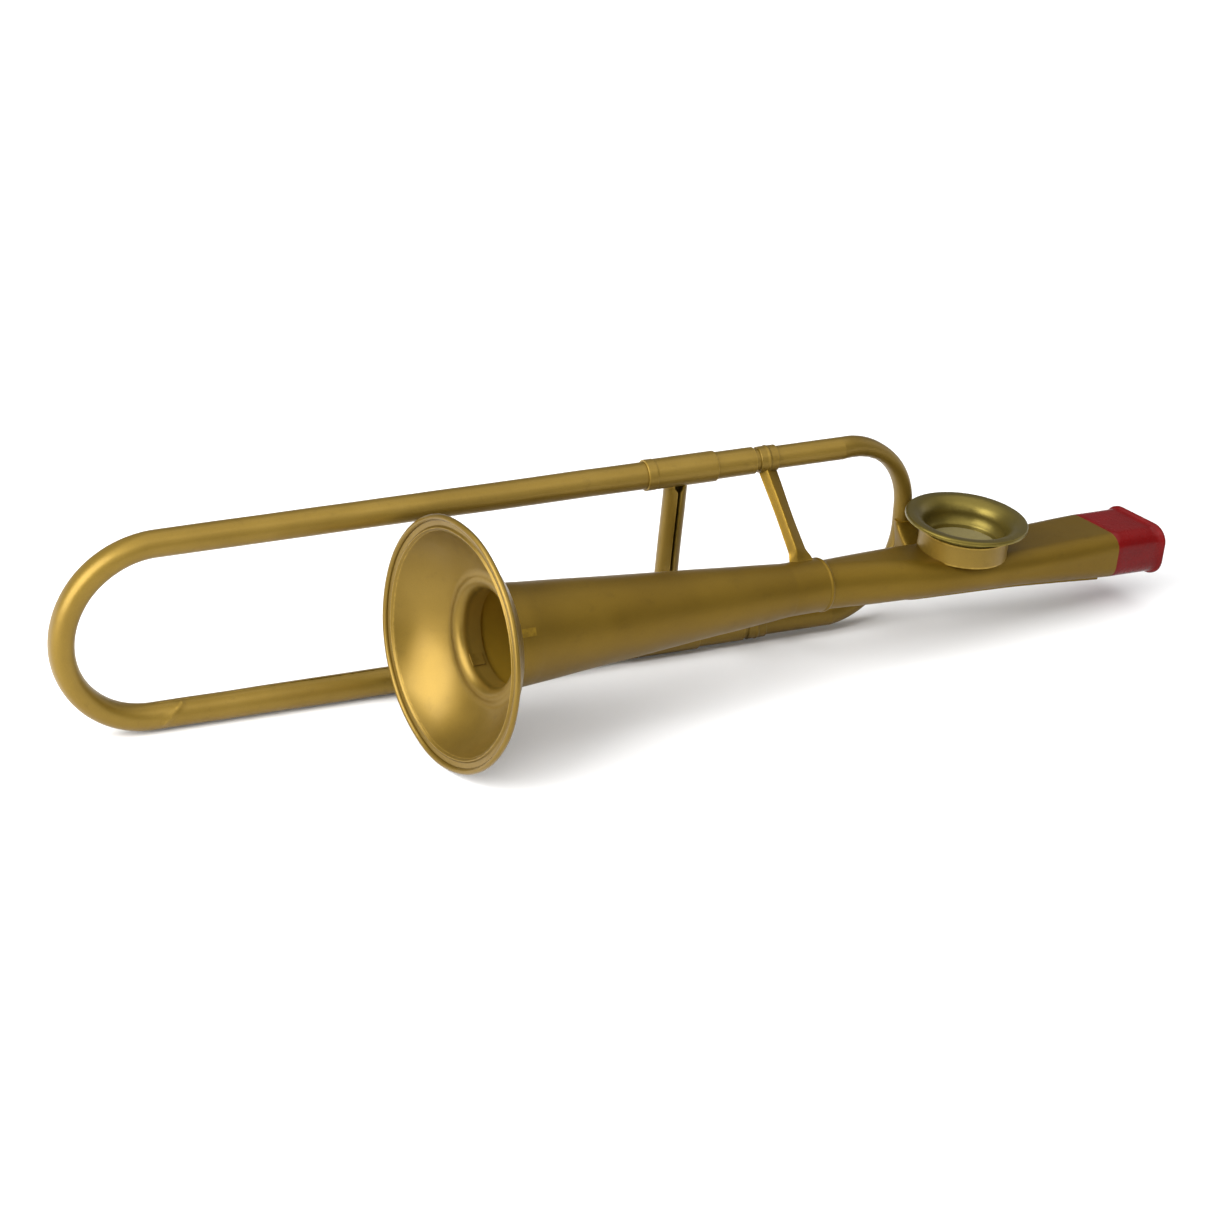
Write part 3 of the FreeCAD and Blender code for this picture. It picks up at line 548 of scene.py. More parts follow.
def inner_gap(x):
    before_end = INNER_END / MM - x
    open_share = smooth(GAPE_FROM + 1.2, GAPE_FROM - 1.2, before_end) * smooth(
        GAPE_TO - 0.8, GAPE_TO + 0.8, before_end)
    return INNER_GAP + GAPE_WIDE * open_share


RIDGE_LONG, RIDGE_HIGH = 10.0, 0.42
RIDGE_WIDE = 0.30  # radians round the tube
RIDGE_TURN = (0.90 * math.pi, 1.42 * math.pi)  # where the crest starts and ends round the tube


def leg_ridge(x, angle):
    """The fold at the lower leg's front end: it climbs from the tube's side to its top."""
    climb = smooth(0.0, RIDGE_LONG, x - LEG_START / MM)
    crest = lerp(*RIDGE_TURN, climb)
    height = RIDGE_HIGH * smooth(0.0, 0.12, climb) * smooth(0.0, 0.10, 1 - climb)
    return height * bump(crest, RIDGE_WIDE, angle)


def make_legs():
    """On each side, the slide's outer leg and the fixed inner tube that it runs on."""
    for side, sign in SIDES:
        height = LOOP_Z + sign * LOOP_HALF
        lift = leg_ridge if side == "lower" else None
        form = rolled_tube(LEG_START / MM, LEG_END / MM, height, LEG_RAD / MM, outer_gap, sign, lift)
        finish_mesh("leg_" + side, form, "slide", ["outer_tube_" + side], GOLD,
                    quiet=near_x(LEG_START))
        form = rolled_tube(INNER_START / MM, INNER_END / MM, height, INNER_RAD / MM, inner_gap, sign)
        finish_mesh("guide_" + side, form, "horn", ["inner_tube_" + side], GOLD,
                    quiet=near_x(INNER_END))


# ---------------------------------------- bows
def squared(wave, square):
    """A sine or cosine for a section that is an ellipse at square 2 and nears a box above it."""
    return math.copysign(abs(wave) ** (2 / square), wave)


def bent_tube(path, section, steps):
    """A sheet tube along a bent path. path(share) gives centre, tangent and outward
    direction. section(share) gives half width, half thickness, squareness and fold, where
    fold(angle) is how far the skin stands out. Angle 0 is the side towards -Y."""
    skins = ([], [])
    for i in range(steps + 1):
        share = i / steps
        centre, along, outward = path(share)
        side = -along.cross(outward).normalized()
        wide, thick, square, fold = section(share)
        for skin, wall in zip(skins, (0.0, TIN)):
            row = []
            for k in range(AROUND):
                angle = 2 * math.pi * k / AROUND
                c, s = math.cos(angle), math.sin(angle)
                lift = 1 + fold(angle) / wide
                across = squared(c, square) * (wide - wall) * lift
                rise = squared(s, square) * (thick - wall) * lift
                row.append(centre + side * mm(across) + outward * mm(rise))
            skin.append(row)
    return shell(*skins)


FRONT_BEND = LOOP_HALF / MM  # radius of the front bow's centre line
FRONT_WIDE, FRONT_THICK = 4.3, 3.75  # half the pressed section's width and thickness
FRONT_SQUARE = 2.35
FRONT_ENDS = 0.14  # share of the bow over which it goes from round to pressed
FRONT_STEPS = 150


def front_path(share):
    """A half circle from the upper leg round to the lower one."""
    turn = math.pi * share
    outward = Vector((-math.sin(turn), 0, math.cos(turn)))
    along = Vector((-math.cos(turn), 0, -math.sin(turn)))
    centre = Vector((LEG_START, LOOP_Y, LOOP_Z)) + outward * mm(FRONT_BEND)
    return centre, along, outward


def front_section(share):
    """Round at the legs and pressed flatter in the bend."""
    pressed = smooth(0.0, FRONT_ENDS, share) * smooth(0.0, FRONT_ENDS, 1 - share)
    wide = lerp(LEG_RAD / MM, FRONT_WIDE, pressed)
    thick = lerp(LEG_RAD / MM, FRONT_THICK, pressed)
    return wide, thick, lerp(2.0, FRONT_SQUARE, pressed), unfolded


def make_front_bow():
    form = bent_tube(front_path, front_section, FRONT_STEPS)
    finish_mesh("slide_bow", form, "slide", ["front_bow"], GOLD,
                quiet=near_x(LEG_START))


BACK_LEAN = math.radians(10.7)  # how far the thin bow leans away from the turret
BACK_CORNER = 25.2  # radius of its two bends
BACK_FLAT = 2 * (LOOP_HALF / MM - BACK_CORNER)
BACK_LEAD = 0.9  # how far its ends reach into the inner tubes
BACK_RAD, BACK_WIDE, BACK_THICK = 3.4, 3.1, 2.5  # its round ends and pinched middle
BACK_SQUARE = 2.2
BACK_ENDS = 0.22  # share of the bow over which it goes from round to pinched
WRINKLE_HIGH, WRINKLES = 0.10, 130  # their height, and radians over the whole bow
WRINKLE_AT, WRINKLE_REACH = 0.17, 0.07  # shares of the bow
BACK_STEPS = 170


def back_path(share):
    """The thin bow: a quarter bend, a short straight and another bend, leaning back. Both ends
    reach a little way into the inner tubes."""
    bend = math.pi / 2 * BACK_CORNER
    run = share * (2 * bend + BACK_FLAT + 2 * BACK_LEAD) - BACK_LEAD
    if run <= 0:
        turn = 0.0
        x, z = run, LOOP_HALF / MM
    elif run >= 2 * bend + BACK_FLAT:
        turn = math.pi
        x, z = 2 * bend + BACK_FLAT - run, -LOOP_HALF / MM
    elif run <= bend:
        turn = run / BACK_CORNER
        x, z = BACK_CORNER * math.sin(turn), BACK_FLAT / 2 + BACK_CORNER * math.cos(turn)
    elif run <= bend + BACK_FLAT:
        turn = math.pi / 2
        x, z = BACK_CORNER, BACK_FLAT / 2 - (run - bend)
    else:
        turn = math.pi / 2 + (run - bend - BACK_FLAT) / BACK_CORNER
        x, z = BACK_CORNER * math.sin(turn), -BACK_FLAT / 2 + BACK_CORNER * math.cos(turn)
    lean = Matrix.Rotation(BACK_LEAN, 3, "Z")
    outward = lean @ Vector((math.sin(turn), 0, math.cos(turn)))
    along = lean @ Vector((math.cos(turn), 0, -math.sin(turn)))
    centre = Vector((INNER_END, LOOP_Y, LOOP_Z)) + lean @ mm(x, 0, z)
    return centre, along, outward


def back_section(share):
    """Round where it leaves the inner tubes, then pinched thin, with faint wrinkles on its inside."""
    from_end = min(share, 1 - share)
    pinched = smooth(0.0, BACK_ENDS, from_end)
    wrinkle = WRINKLE_HIGH * math.sin(from_end * WRINKLES) * bump(WRINKLE_AT, WRINKLE_REACH, from_end)

    def fold(angle):
        return wrinkle * max(0.0, -math.sin(angle)) ** 3

    wide = lerp(BACK_RAD, BACK_WIDE, pinched)
    thick = lerp(BACK_RAD, BACK_THICK, pinched)
    return wide, thick, lerp(2.0, BACK_SQUARE, pinched), fold


def make_back_bow():
    form = bent_tube(back_path, back_section, BACK_STEPS)
    finish_mesh("thin_bow", form, "horn", ["back_bow"], GOLD,
                quiet=near_x(INNER_END))


# ---------------------------------------- ferrules, collars and braces
RING_TURNS = 96  # steps round a ferrule, a collar or the film's ring
CLEAR = 0.01  # gap between a ring and the tube it's soldered on
BAND_LONG, BAND_HIGH = 3.0, 0.1  # a ferrule's raised front band
BEAD_SHARE, BEAD_HALF, BEAD_RISE = 0.48, 0.55, 0.2  # a collar's bead: place, half length, height
CHAMFER = 0.1


def make_ring(name, body, node, front, sign, profile, quiet=None):
    """A ring round a leg or an inner tube; front is the x where it starts."""
    place = Matrix.Translation((front, LOOP_Y, LOOP_Z + sign * LOOP_HALF))
    form = lathe(profile, place, RING_TURNS)
    finish_mesh(name, form, body, [node], GOLD, STIFF, quiet)


def ferrule_profile(length, band, rad, lip, inside):
    """Sleeve with a raised front band; every corner is a small round."""
    soft = 0.12
    return [
        (0, inside + soft), (0, lip - soft), (soft * 0.4, lip - soft * 0.35), (soft, lip),
        (band - soft, lip), (band, lip - soft * 0.5), (band + soft, rad + 0.02), (band + soft * 3, rad),
        (length - soft, rad), (length - soft * 0.35, rad - soft * 0.4), (length, rad - soft),
        (length, inside + soft), (length - soft, inside), (soft, inside)]


def make_ferrules():
    for side, sign in SIDES:
        node = "ferrule_" + side
        low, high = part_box(node)
        lip = reach(node) / MM
        length, inside = (high.x - low.x) / MM, LEG_RAD / MM + CLEAR
        profile = ferrule_profile(length, BAND_LONG, lip - BAND_HIGH, lip, inside)
        make_ring("sleeve_" + side, "slide", node, low.x, sign, profile)


def make_collars():
    for side, sign in SIDES:
        node = "collar_" + side
        low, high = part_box(node)
        length = (high.x - low.x) / MM
        rad, inside = reach(node) / MM - BEAD_RISE, INNER_RAD / MM + CLEAR
        bead_at = length * BEAD_SHARE
        profile = [(0, inside), (0, rad - CHAMFER), (CHAMFER, rad)]
        for t in (-1.0, -0.7, -0.35, 0.0, 0.35, 0.7, 1.0):
            profile.append((bead_at + BEAD_HALF * t, rad + BEAD_RISE * math.cos(math.pi / 2 * t)))
        profile += [(length - CHAMFER, rad), (length, rad - CHAMFER), (length, inside)]
        crest = low.x + mm(bead_at)
        make_ring("strap_" + side, "horn", node, low.x, sign, profile,
                  quiet=lambda point: abs(point.x - crest) > mm(BEAD_HALF))


BRACE_LEAN = math.radians(2.3)
BRACE_RAD, BRACE_WALL, BRACE_GAP = 3.5, 0.7, 0.55
BRACE_SINK = 0.15  # how far the brace's ends sink into the ferrules
BRACE_ROWS = 60
NOTCH_WIDE = 1.1  # how much the brace's seam opens at its very top


def brace_row(centre, rad, level):
    """One open ring of the brace; level runs from -1 at its lower end to 1 at its upper end."""
    ferrule = reach("ferrule_upper") / MM - BAND_HIGH
    half_gap = BRACE_GAP + NOTCH_WIDE * smooth(0.88, 0.97, level)
    gap = math.asin(half_gap / BRACE_RAD)
    row = []
    for k in range(AROUND + 1):
        angle = -math.pi / 2 + gap + 2 * (math.pi - gap) * k / AROUND
        x, y = rad * math.cos(angle), rad * math.sin(angle)
        z = (LOOP_HALF / MM - math.sqrt(ferrule ** 2 - y ** 2) + BRACE_SINK) * level
        row.append(centre + mm(x + z * math.tan(BRACE_LEAN), y, z))
    return row


def make_slide_brace():
    """The rolled cross tube: it leans, its ends are saddled to the ferrules, its seam faces -Y."""
    centre = Vector((middle("slide_brace").x, LOOP_Y, LOOP_Z))
    levels = [lerp(-1.0, 1.0, i / BRACE_ROWS) for i in range(BRACE_ROWS + 1)]
    outer = [brace_row(centre, BRACE_RAD, level) for level in levels]
    inner = [brace_row(centre, BRACE_RAD - BRACE_WALL, level) for level in levels]
    form = shell(outer, inner, wrap=False)
    finish_mesh("cross_brace", form, "slide", ["slide_brace"], GOLD)


STRUT_AT, STRUT_SIDE, STRUT_HIGH = 122.5, 2.5, 7.6  # where a strut meets the cone, horn frame
STRUT_FRONT, STRUT_UNDER = 1.2, 2.6  # where it starts, from its collar's middle
STRUT_FLAT = (0.86, 0.99)  # shares of its length between which it's beaten flat
STRUT_WAIST, STRUT_SPREAD, STRUT_PRESS = 0.08, 0.35, 0.65  # narrower, wider and thinner by
STRUT_OVER = 1.02  # its length over the distance to the cone, so that it ends inside
STRUT_STEPS = 48
STRUT_SECTION = (
    # across, out: a strip folded to a ridge a third of the way across, outside then inside
    (-2.8, -0.3), (-2.2, 0.45), (-1.6, 1.2), (-1.12, 1.78), (-0.95, 1.88), (-0.7, 1.84), (0.2, 1.45),
    (1.4, 0.85), (2.6, 0.2), (2.9, 0.0), (2.75, -0.5), (1.9, -0.05), (1.0, 0.45), (0.2, 0.85),
    (-0.7, 1.2), (-1.0, 1.1), (-1.6, 0.45), (-2.5, -0.65))


def make_horn_braces():
    """A folded strip from each collar down to the cone, where its end is beaten flat and wide."""
    for side, sign in SIDES:
        start = middle("collar_" + side) - mm(0, STRUT_FRONT, sign * STRUT_UNDER)
        end = HORN @ mm(STRUT_AT, STRUT_SIDE, sign * STRUT_HIGH)
        run = end - start
        along = run.normalized()
        out = run.cross(Vector((1, 0, 0))).normalized()
        if out.y > 0:
            out = -out
        across = (Vector((1, 0, 0)) - along * along.x).normalized()
        loops = []
        for i in range(STRUT_STEPS + 1):
            share = i / STRUT_STEPS
            flat = smooth(*STRUT_FLAT, share)
            wide = 1.0 - STRUT_WAIST * bump(0.5, 0.3, share) + STRUT_SPREAD * flat
            deep = 1.0 - STRUT_PRESS * flat
            centre = start + run * (share * STRUT_OVER)
            loops.append([centre + across * mm(u * wide) + out * mm(v * deep) for u, v in STRUT_SECTION])
        form = bmesh.new()
        add_solid(form, loops)
        finish_mesh("strut_" + side, form, "horn", ["horn_brace_" + side], SHADED_GOLD)


# ---------------------------------------- bell and cone
# Distances are behind the bell's rim plane.
RIM_RAD, RIM_BEAD, BELL_TIN = 36.7, 0.9, 0.5
RING_RAD, RING_HALF, RING_BACK, RING_FRONT = 33.6, 0.7, 1.2, 0.65
CREASE_AT, CREASE_RAD, DISH_BEND, LIP_BEND = 12.5, 19.1, 26.0, 3.05
NECK_AT, NECK_RAD, NECK_END = 15.0, 14.3, 19.5
BELL_TURNS, CONE_TURNS = 192, 128
BELL_WOBBLE, CONE_WOBBLE = mm(0.22), mm(0.14)
TAB_HIGH = 0.35  # thickness of the neck's solder tabs
TAB_STEPS, ROUND_STEPS, RIM_STEPS = 8, 8, 18
RIM_TURN = (20, 262)  # where the rolled rim starts and ends round its bead, in degrees


def rounded(before, corner, after):
    """A soft curve that starts at one point, leans towards the corner and ends at the other."""
    points = []
    for step in range(ROUND_STEPS + 1):
        t = step / ROUND_STEPS
        points.append(tuple((1 - t) ** 2 * a + 2 * t * (1 - t) * b + t * t * c
                            for a, b, c in zip(before, corner, after)))
    return points


def bell_inside():
    """Inside face of the bell's sheet, from the rim bead in to the neck: (along, radius)."""
    ring = []
    for step in range(-6, 7):
        share = step / 6
        crest = 0.5 + 0.5 * math.cos(math.pi * share)
        ring.append((lerp(RING_BACK, RING_FRONT, crest), RING_RAD - share * RING_HALF))
    dish = arc((RING_BACK, RING_RAD - RING_HALF), (CREASE_AT, CREASE_RAD), DISH_BEND, -1, 24)
    lip = arc((CREASE_AT, CREASE_RAD), (NECK_AT, NECK_RAD), LIP_BEND, 1, 16)
    dish, lip = dish[:-1], rounded(dish[-2], (CREASE_AT, CREASE_RAD), lip[3]) + lip[4:]
    neck = straight((NECK_AT, NECK_RAD), (NECK_END, NECK_RAD), 5)
    edge = [(RIM_BEAD * 1.1, RIM_RAD - RIM_BEAD)]
    return edge + ring[:-1] + dish + lip + neck + [(NECK_END, NECK_RAD)]


def offset_line(points, distance):
    """The line moved sideways by a distance, to the side away from the bell's mouth."""
    moved = []
    for i, point in enumerate(points):
        before = Vector(points[max(0, i - 1)])
        after = Vector(points[min(len(points) - 1, i + 1)])
        run = (after - before).normalized()
        moved.append((point[0] - run.y * distance, point[1] + run.x * distance))
    return moved


def add_tab(form, along, angle, radius):
    """A small strip of sheet bent round the horn's axis; along (mm) and angle (degrees) give both
    its ends."""
    top = radius + TAB_HIGH
    section = ((along[0], radius), (along[1], radius), (along[1], top), (along[0], top))
    loops = []
    for step in range(TAB_STEPS + 1):
        turn = math.radians(lerp(angle[0], angle[1], step / TAB_STEPS))
        loops.append([around(HORN, turn, x, r) for x, r in section])
    add_solid(form, loops)


def make_bell():
    """The bell's sheet with its rolled rim, and the small solder tab inside its neck."""
    inside = bell_inside()
    outside = offset_line(inside, BELL_TIN)
    bead = []
    for step in range(RIM_STEPS + 1):
        turn = math.radians(lerp(*RIM_TURN, step / RIM_STEPS))
        bead.append((RIM_BEAD + RIM_BEAD * math.cos(turn), RIM_RAD + RIM_BEAD * math.sin(turn)))
    form = lathe(list(reversed(outside)) + bead + inside, HORN, BELL_TURNS)
    add_tab(form, (14.2, 18.2), (300, 316), NECK_RAD - TAB_HIGH - 0.05)
    # Painted light is added inside the neck, starting just ahead of it.
    finish_mesh("bell", form, "horn", ["bell_flare"], BELL_SHADED_GOLD, BELL_WOBBLE,
                throat_light=NECK_AT - 1.0)


CONE_AT, CONE_RAD, CONE_GRIP = 14.6, 15.35, 20.0  # its front edge and its grip on the neck
TAPER_AT, TAPER_RAD, CONE_END, CONE_TIN = 116.0, 8.0, 129.0, 0.4
BEAD_HIGH, BEAD_LONG, BEAD_STEPS = 0.3, 1.3, 8
SHOULDER_BEND = 40.0  # radius of the soft shoulder behind the grip


def make_cone():
    """The cone's sheet: its turned front edge with a solder tab, the taper and a rolled back bead."""
    outside = [(CONE_AT, CONE_RAD - 0.1), (CONE_AT + 0.12, CONE_RAD + 0.05), (CONE_AT + 0.5, CONE_RAD)]
    outside += straight((CONE_GRIP - 2.5, CONE_RAD), (CONE_GRIP - 1.5, CONE_RAD), 1)
    shoulder = (CONE_GRIP + 4, CONE_RAD - 0.3)
    outside += arc((CONE_GRIP - 1.5, CONE_RAD), shoulder, SHOULDER_BEND, -1, 4)
    outside += straight(shoulder, (TAPER_AT, TAPER_RAD), 40)
    outside += straight((TAPER_AT, TAPER_RAD), (CONE_END - BEAD_LONG, TAPER_RAD), 6)
    for step in range(BEAD_STEPS + 1):
        share = step / BEAD_STEPS
        rise = BEAD_HIGH * math.sin(math.pi * share)
        outside.append((CONE_END - BEAD_LONG * (1 - share), TAPER_RAD + rise))
    inside = [(CONE_END, TAPER_RAD - CONE_TIN)]
    inside += straight((TAPER_AT, TAPER_RAD - CONE_TIN), (CONE_GRIP, CONE_RAD - CONE_TIN), 30)
    inside += [(CONE_GRIP, CONE_RAD - CONE_TIN), (CONE_AT, CONE_RAD - CONE_TIN)]
    form = lathe(outside + inside, HORN, CONE_TURNS)
    add_tab(form, (15.6, 20.4), (146, 155), CONE_RAD + 0.03)
    # Painted light is added inside the cone, starting at its front edge.
    finish_mesh("cone", form, "horn", ["bell_cone"], SHADED_GOLD, CONE_WOBBLE,
                throat_light=CONE_AT)


# ---------------------------------------- kazoo body
KAZOO_SECTIONS = (
    # distance along the axis, half width, half height, corner radius
    (4.0, 7.2, 7.2, 7.0),
    (13.5, 7.3, 7.3, 7.0),
    (32.0, 8.8, 6.9, 6.5),
    (54.0, 10.8, 5.5, 5.2),
    (78.0, 11.4, 5.7, 5.2),
    (96.0, 11.5, 6.5, 5.2),
    (113.6, 11.2, 7.4, 4.7),
)
KAZOO_TIN, KAZOO_ROWS, KAZOO_WOBBLE = 0.5, 112, mm(0.16)
TIP_AT, TIP_LONG, TIP_WALL = 113.6, 17.8, 1.3
TIP_CUT = math.radians(11.5)  # how far the body's end and the red tip are cut askew
CRIMP_FROM, CRIMP_BACK = 36.0, 0.9  # where the seam starts, and its gap before the red tip
CRIMP_HALF, CRIMP_DROP, CRIMP_ROWS = 0.32, 0.9, 60
CORNERS = ((1, 1), (-1, 1), (-1, -1), (1, -1))
CORNER_STEPS, SIDE_STEPS = 14, 9


def box_loop(at, wide, high, corner, skew):
    """A round-cornered box across the kazoo's axis; skew swings it about the upright axis."""
    centres = [(sy * (wide - corner), sz * (high - corner)) for sy, sz in CORNERS]
    points = []
    for quarter in range(4):
        centre, following = centres[quarter], centres[(quarter + 1) % 4]
        for step in range(CORNER_STEPS + 1):
            angle = math.pi / 2 * (quarter + step / CORNER_STEPS)
            points.append((centre[0] + corner * math.cos(angle), centre[1] + corner * math.sin(angle)))
        angle = math.pi / 2 * (quarter + 1)
        end = (following[0] + corner * math.cos(angle), following[1] + corner * math.sin(angle))
        points += straight(points[-1], end, SIDE_STEPS)[1:]
    return [KAZOO @ mm(at + y * math.tan(skew), y, z) for y, z in points]


def kazoo_loop(at, grow, skew=0.0):
    wide, high, corner = through(KAZOO_SECTIONS, at)
    return box_loop(at, wide + grow, high + grow, corner + grow, skew)


def make_kazoo():
    """The body's skin, whose sections swing round to the askew cut in its back part."""
    first, last = KAZOO_SECTIONS[0][0], KAZOO_SECTIONS[-1][0]
    outer, inner = [], []
    for i in range(KAZOO_ROWS + 1):
        at = lerp(first, last, i / KAZOO_ROWS)
        skew = -TIP_CUT * smooth(0.6, 1.0, i / KAZOO_ROWS)
        outer.append(kazoo_loop(at, 0.0, skew))
        inner.append(kazoo_loop(at, -KAZOO_TIN, skew))
    ahead_of_tip = KAZOO @ mm(TIP_AT - 4.0, 0, 0)
    finish_mesh("kazoo", shell(outer, inner), "horn", ["kazoo_body"], SHADED_GOLD,
                KAZOO_WOBBLE, quiet=lambda point: point.x > ahead_of_tip.x)


def make_seam():
    """The crimped seam: a thin rounded fin under the body's front edge."""
    loops = []
    last = KAZOO_SECTIONS[-1][0] - CRIMP_BACK
    for i in range(CRIMP_ROWS + 1):
        at = lerp(CRIMP_FROM, last, i / CRIMP_ROWS)
        wide, high, corner = through(KAZOO_SECTIONS, at)
        y = -(wide - corner) - 0.4
        low = -high - CRIMP_DROP * smooth(0.0, 0.12, i / CRIMP_ROWS)
        top = -high + 0.3
        profile = [(-1.0, top), (-1.0, low + 0.25), (-0.7, low + 0.06), (0.0, low),
                   (0.7, low + 0.06), (1.0, low + 0.25), (1.0, top)]
        loops.append([KAZOO @ mm(at, y + CRIMP_HALF * u, v) for u, v in profile])
    form = bmesh.new()
    add_solid(form, loops)
    finish_mesh("crimp", form, "horn", ["body_seam"], SHADED_GOLD, quiet=anywhere)


TIP_STEP, TIP_FLARE = 1.5, 0.7  # longest step along the tip; its bore's widening at the lip
TIP_OUTLINE = (
    # distance from the red piece's start, how far its skin stands out
    (0.0, -0.06), (0.15, 0.0), (4.0, 0.0), (12.0, 0.02), (15.8, 0.05), (16.15, 0.3), (16.4, 0.62),
    (16.75, 0.8), (17.2, 0.8), (17.6, 0.5), (17.8, 0.05),
)


def tip_loop(at, grow):
    """The red tip's section at a distance from its start, grown from the body's last section."""
    wide, high, corner = KAZOO_SECTIONS[-1][1:]
    return box_loop(TIP_AT + at, wide + grow, high + grow, corner + grow, -TIP_CUT)


def make_mouthpiece():
    """The red tip: a flat tube with a rolled lip, cut slightly askew."""
    outer = []
    for start, end in zip(TIP_OUTLINE, TIP_OUTLINE[1:]):
        steps = max(1, int((end[0] - start[0]) / TIP_STEP))
        for at, grow in straight(start, end, steps):
            outer.append(tip_loop(at, grow))
    outer.append(tip_loop(*TIP_OUTLINE[-1]))
    inner = []
    for i in range(len(outer)):
        at = lerp(0.0, TIP_LONG, i / (len(outer) - 1))
        inner.append(tip_loop(at, -TIP_WALL + TIP_FLARE * smooth(TIP_LONG - 1.2, TIP_LONG, at)))
    finish_mesh("red_tip", shell(outer, inner), "horn", ["mouthpiece"], RED)


# ---------------------------------------- turret
# Heights are above the kazoo's axis.
CUP_RAD, CUP_TIN, CUP_LOW, CUP_FLOOR, CUP_TOP = 13.65, 0.5, 5.0, 5.3, 11.7
HOLE_RAD, SEAT_TOP, FILM_RAD, FILM_THICK = 8.0, 7.2, 12.6, 0.25
CAP_FIT, CAP_RIM, CAP_ROLL, CAP_HIGH, CAP_LIP = 0.06, 18.2, 0.6, 15.9, 14.8
BOWL_RAD, BOWL_ROUND, BOWL_TURN, BOWL_FOOT, FOOT_HIGH = 17.09, 4.5, 11.4, 10.9, 8.2
FOOT_BEND = 5.0  # radius of the bend from the bowl's wall into its foot
CUP_TURNS, CAP_TURNS, CAP_WOBBLE = 128, 160, mm(0.08)
FILM_RINGS = 14
PULLS, PULL_HIGH = 17, 0.05  # the film's radial pulls


def make_cup():
    """The cup, with the hole in its floor that leads down into the body."""
    inner = CUP_RAD - CUP_TIN
    profile = [(CUP_LOW, inner), (CUP_LOW, CUP_RAD)]
    profile += straight((CUP_LOW, CUP_RAD), (CUP_TOP, CUP_RAD), 8)[1:]
    profile += [(CUP_TOP - 0.1, CUP_RAD), (CUP_TOP, CUP_RAD - 0.12), (CUP_TOP, inner + 0.1),
                (CUP_TOP - 0.1, inner), (CUP_FLOOR + CUP_TIN, inner), (CUP_FLOOR + CUP_TIN, HOLE_RAD),
                (CUP_FLOOR, HOLE_RAD), (CUP_FLOOR, inner)]
    form = lathe(profile, upright(TURRET), CUP_TURNS)
    finish_mesh("turret_wall", form, "horn", ["turret_cup"], GOLD)


def make_cap():
    """The push-in cap: a flange with a rolled edge that rounds down into a bowl with a narrow foot."""
    foot = SEAT_TOP + FILM_THICK
    out = CUP_RAD - CUP_TIN - CAP_FIT
    rim = CAP_RIM + CAP_ROLL
    profile = [(foot, BOWL_FOOT), (foot, BOWL_FOOT + CUP_TIN), (FOOT_HIGH, BOWL_FOOT + CUP_TIN)]
    profile += arc((BOWL_TURN, out), (CAP_HIGH - CUP_TIN, BOWL_RAD), BOWL_ROUND - CUP_TIN, 1, 12)
    profile += [(CAP_HIGH - CUP_TIN, BOWL_RAD), (CAP_HIGH - CUP_TIN, rim - CUP_TIN),
                (CAP_LIP, rim - CUP_TIN), (CAP_LIP, rim)]
    profile += arc((CAP_HIGH - CAP_ROLL, rim), (CAP_HIGH, CAP_RIM), CAP_ROLL, -1, 8)
    profile += [(CAP_HIGH, CAP_RIM)]
    profile += arc((CAP_HIGH, BOWL_RAD), (BOWL_TURN, out - CUP_TIN), BOWL_ROUND, -1, 20)
    profile += arc((BOWL_TURN, out - CUP_TIN), (FOOT_HIGH, BOWL_FOOT), FOOT_BEND, 1, 8)
    form = lathe(profile, upright(TURRET), CAP_TURNS)
    finish_mesh("turret_flange", form, "cap", ["turret_cap"], BRASS, CAP_WOBBLE)


def film_skin(level):
    """One face of the film, as rings of points about the turret's axis."""
    rows = []
    for ring in range(1, FILM_RINGS + 1):
        share = ring / FILM_RINGS
        radius = FILM_RAD * share
        row = []
        for step in range(RING_TURNS):
            angle = 2 * math.pi * step / RING_TURNS
            pull = PULL_HIGH * math.sin(angle * PULLS) * share ** 2 * (1 - share) * 4
            row.append(TURRET @ mm(radius * math.cos(angle), radius * math.sin(angle), level + pull))
        rows.append(row)
    return rows


def make_membrane():
    """The film, drawn tight with faint radial pulls."""
    form = bmesh.new()
    upper = add_points(form, film_skin(SEAT_TOP + FILM_THICK - 0.02))
    lower = add_points(form, film_skin(SEAT_TOP))
    add_grid(form, upper, True)
    add_grid(form, lower, True)
    add_grid(form, [upper[-1], lower[-1]], True)
    for skin in (upper, lower):
        form.faces.new(skin[0])
    finish_mesh("film", form, "horn", ["membrane"], FILM, TRUE)


def make_seat():
    """The ring that the film lies on."""
    floor, outer = CUP_FLOOR + CUP_TIN, CUP_RAD - CUP_TIN
    profile = [(floor, HOLE_RAD), (floor, outer), (SEAT_TOP, outer),
               (SEAT_TOP, HOLE_RAD + 0.3), (SEAT_TOP - 0.3, HOLE_RAD)]
    form = lathe(profile, upright(TURRET), RING_TURNS)
    finish_mesh("film_ring", form, "horn", ["membrane_seat"], FIBRE, TRUE)


# ---------------------------------------- foot of the back bow
BRACKET_HALF, BRACKET_SQUARE = mm(3.5), 4.0  # half its width at the top, and its section
BRACKET_STEPS, BRACKET_TURNS, BRACKET_WOBBLE = 24, 48, mm(0.2)


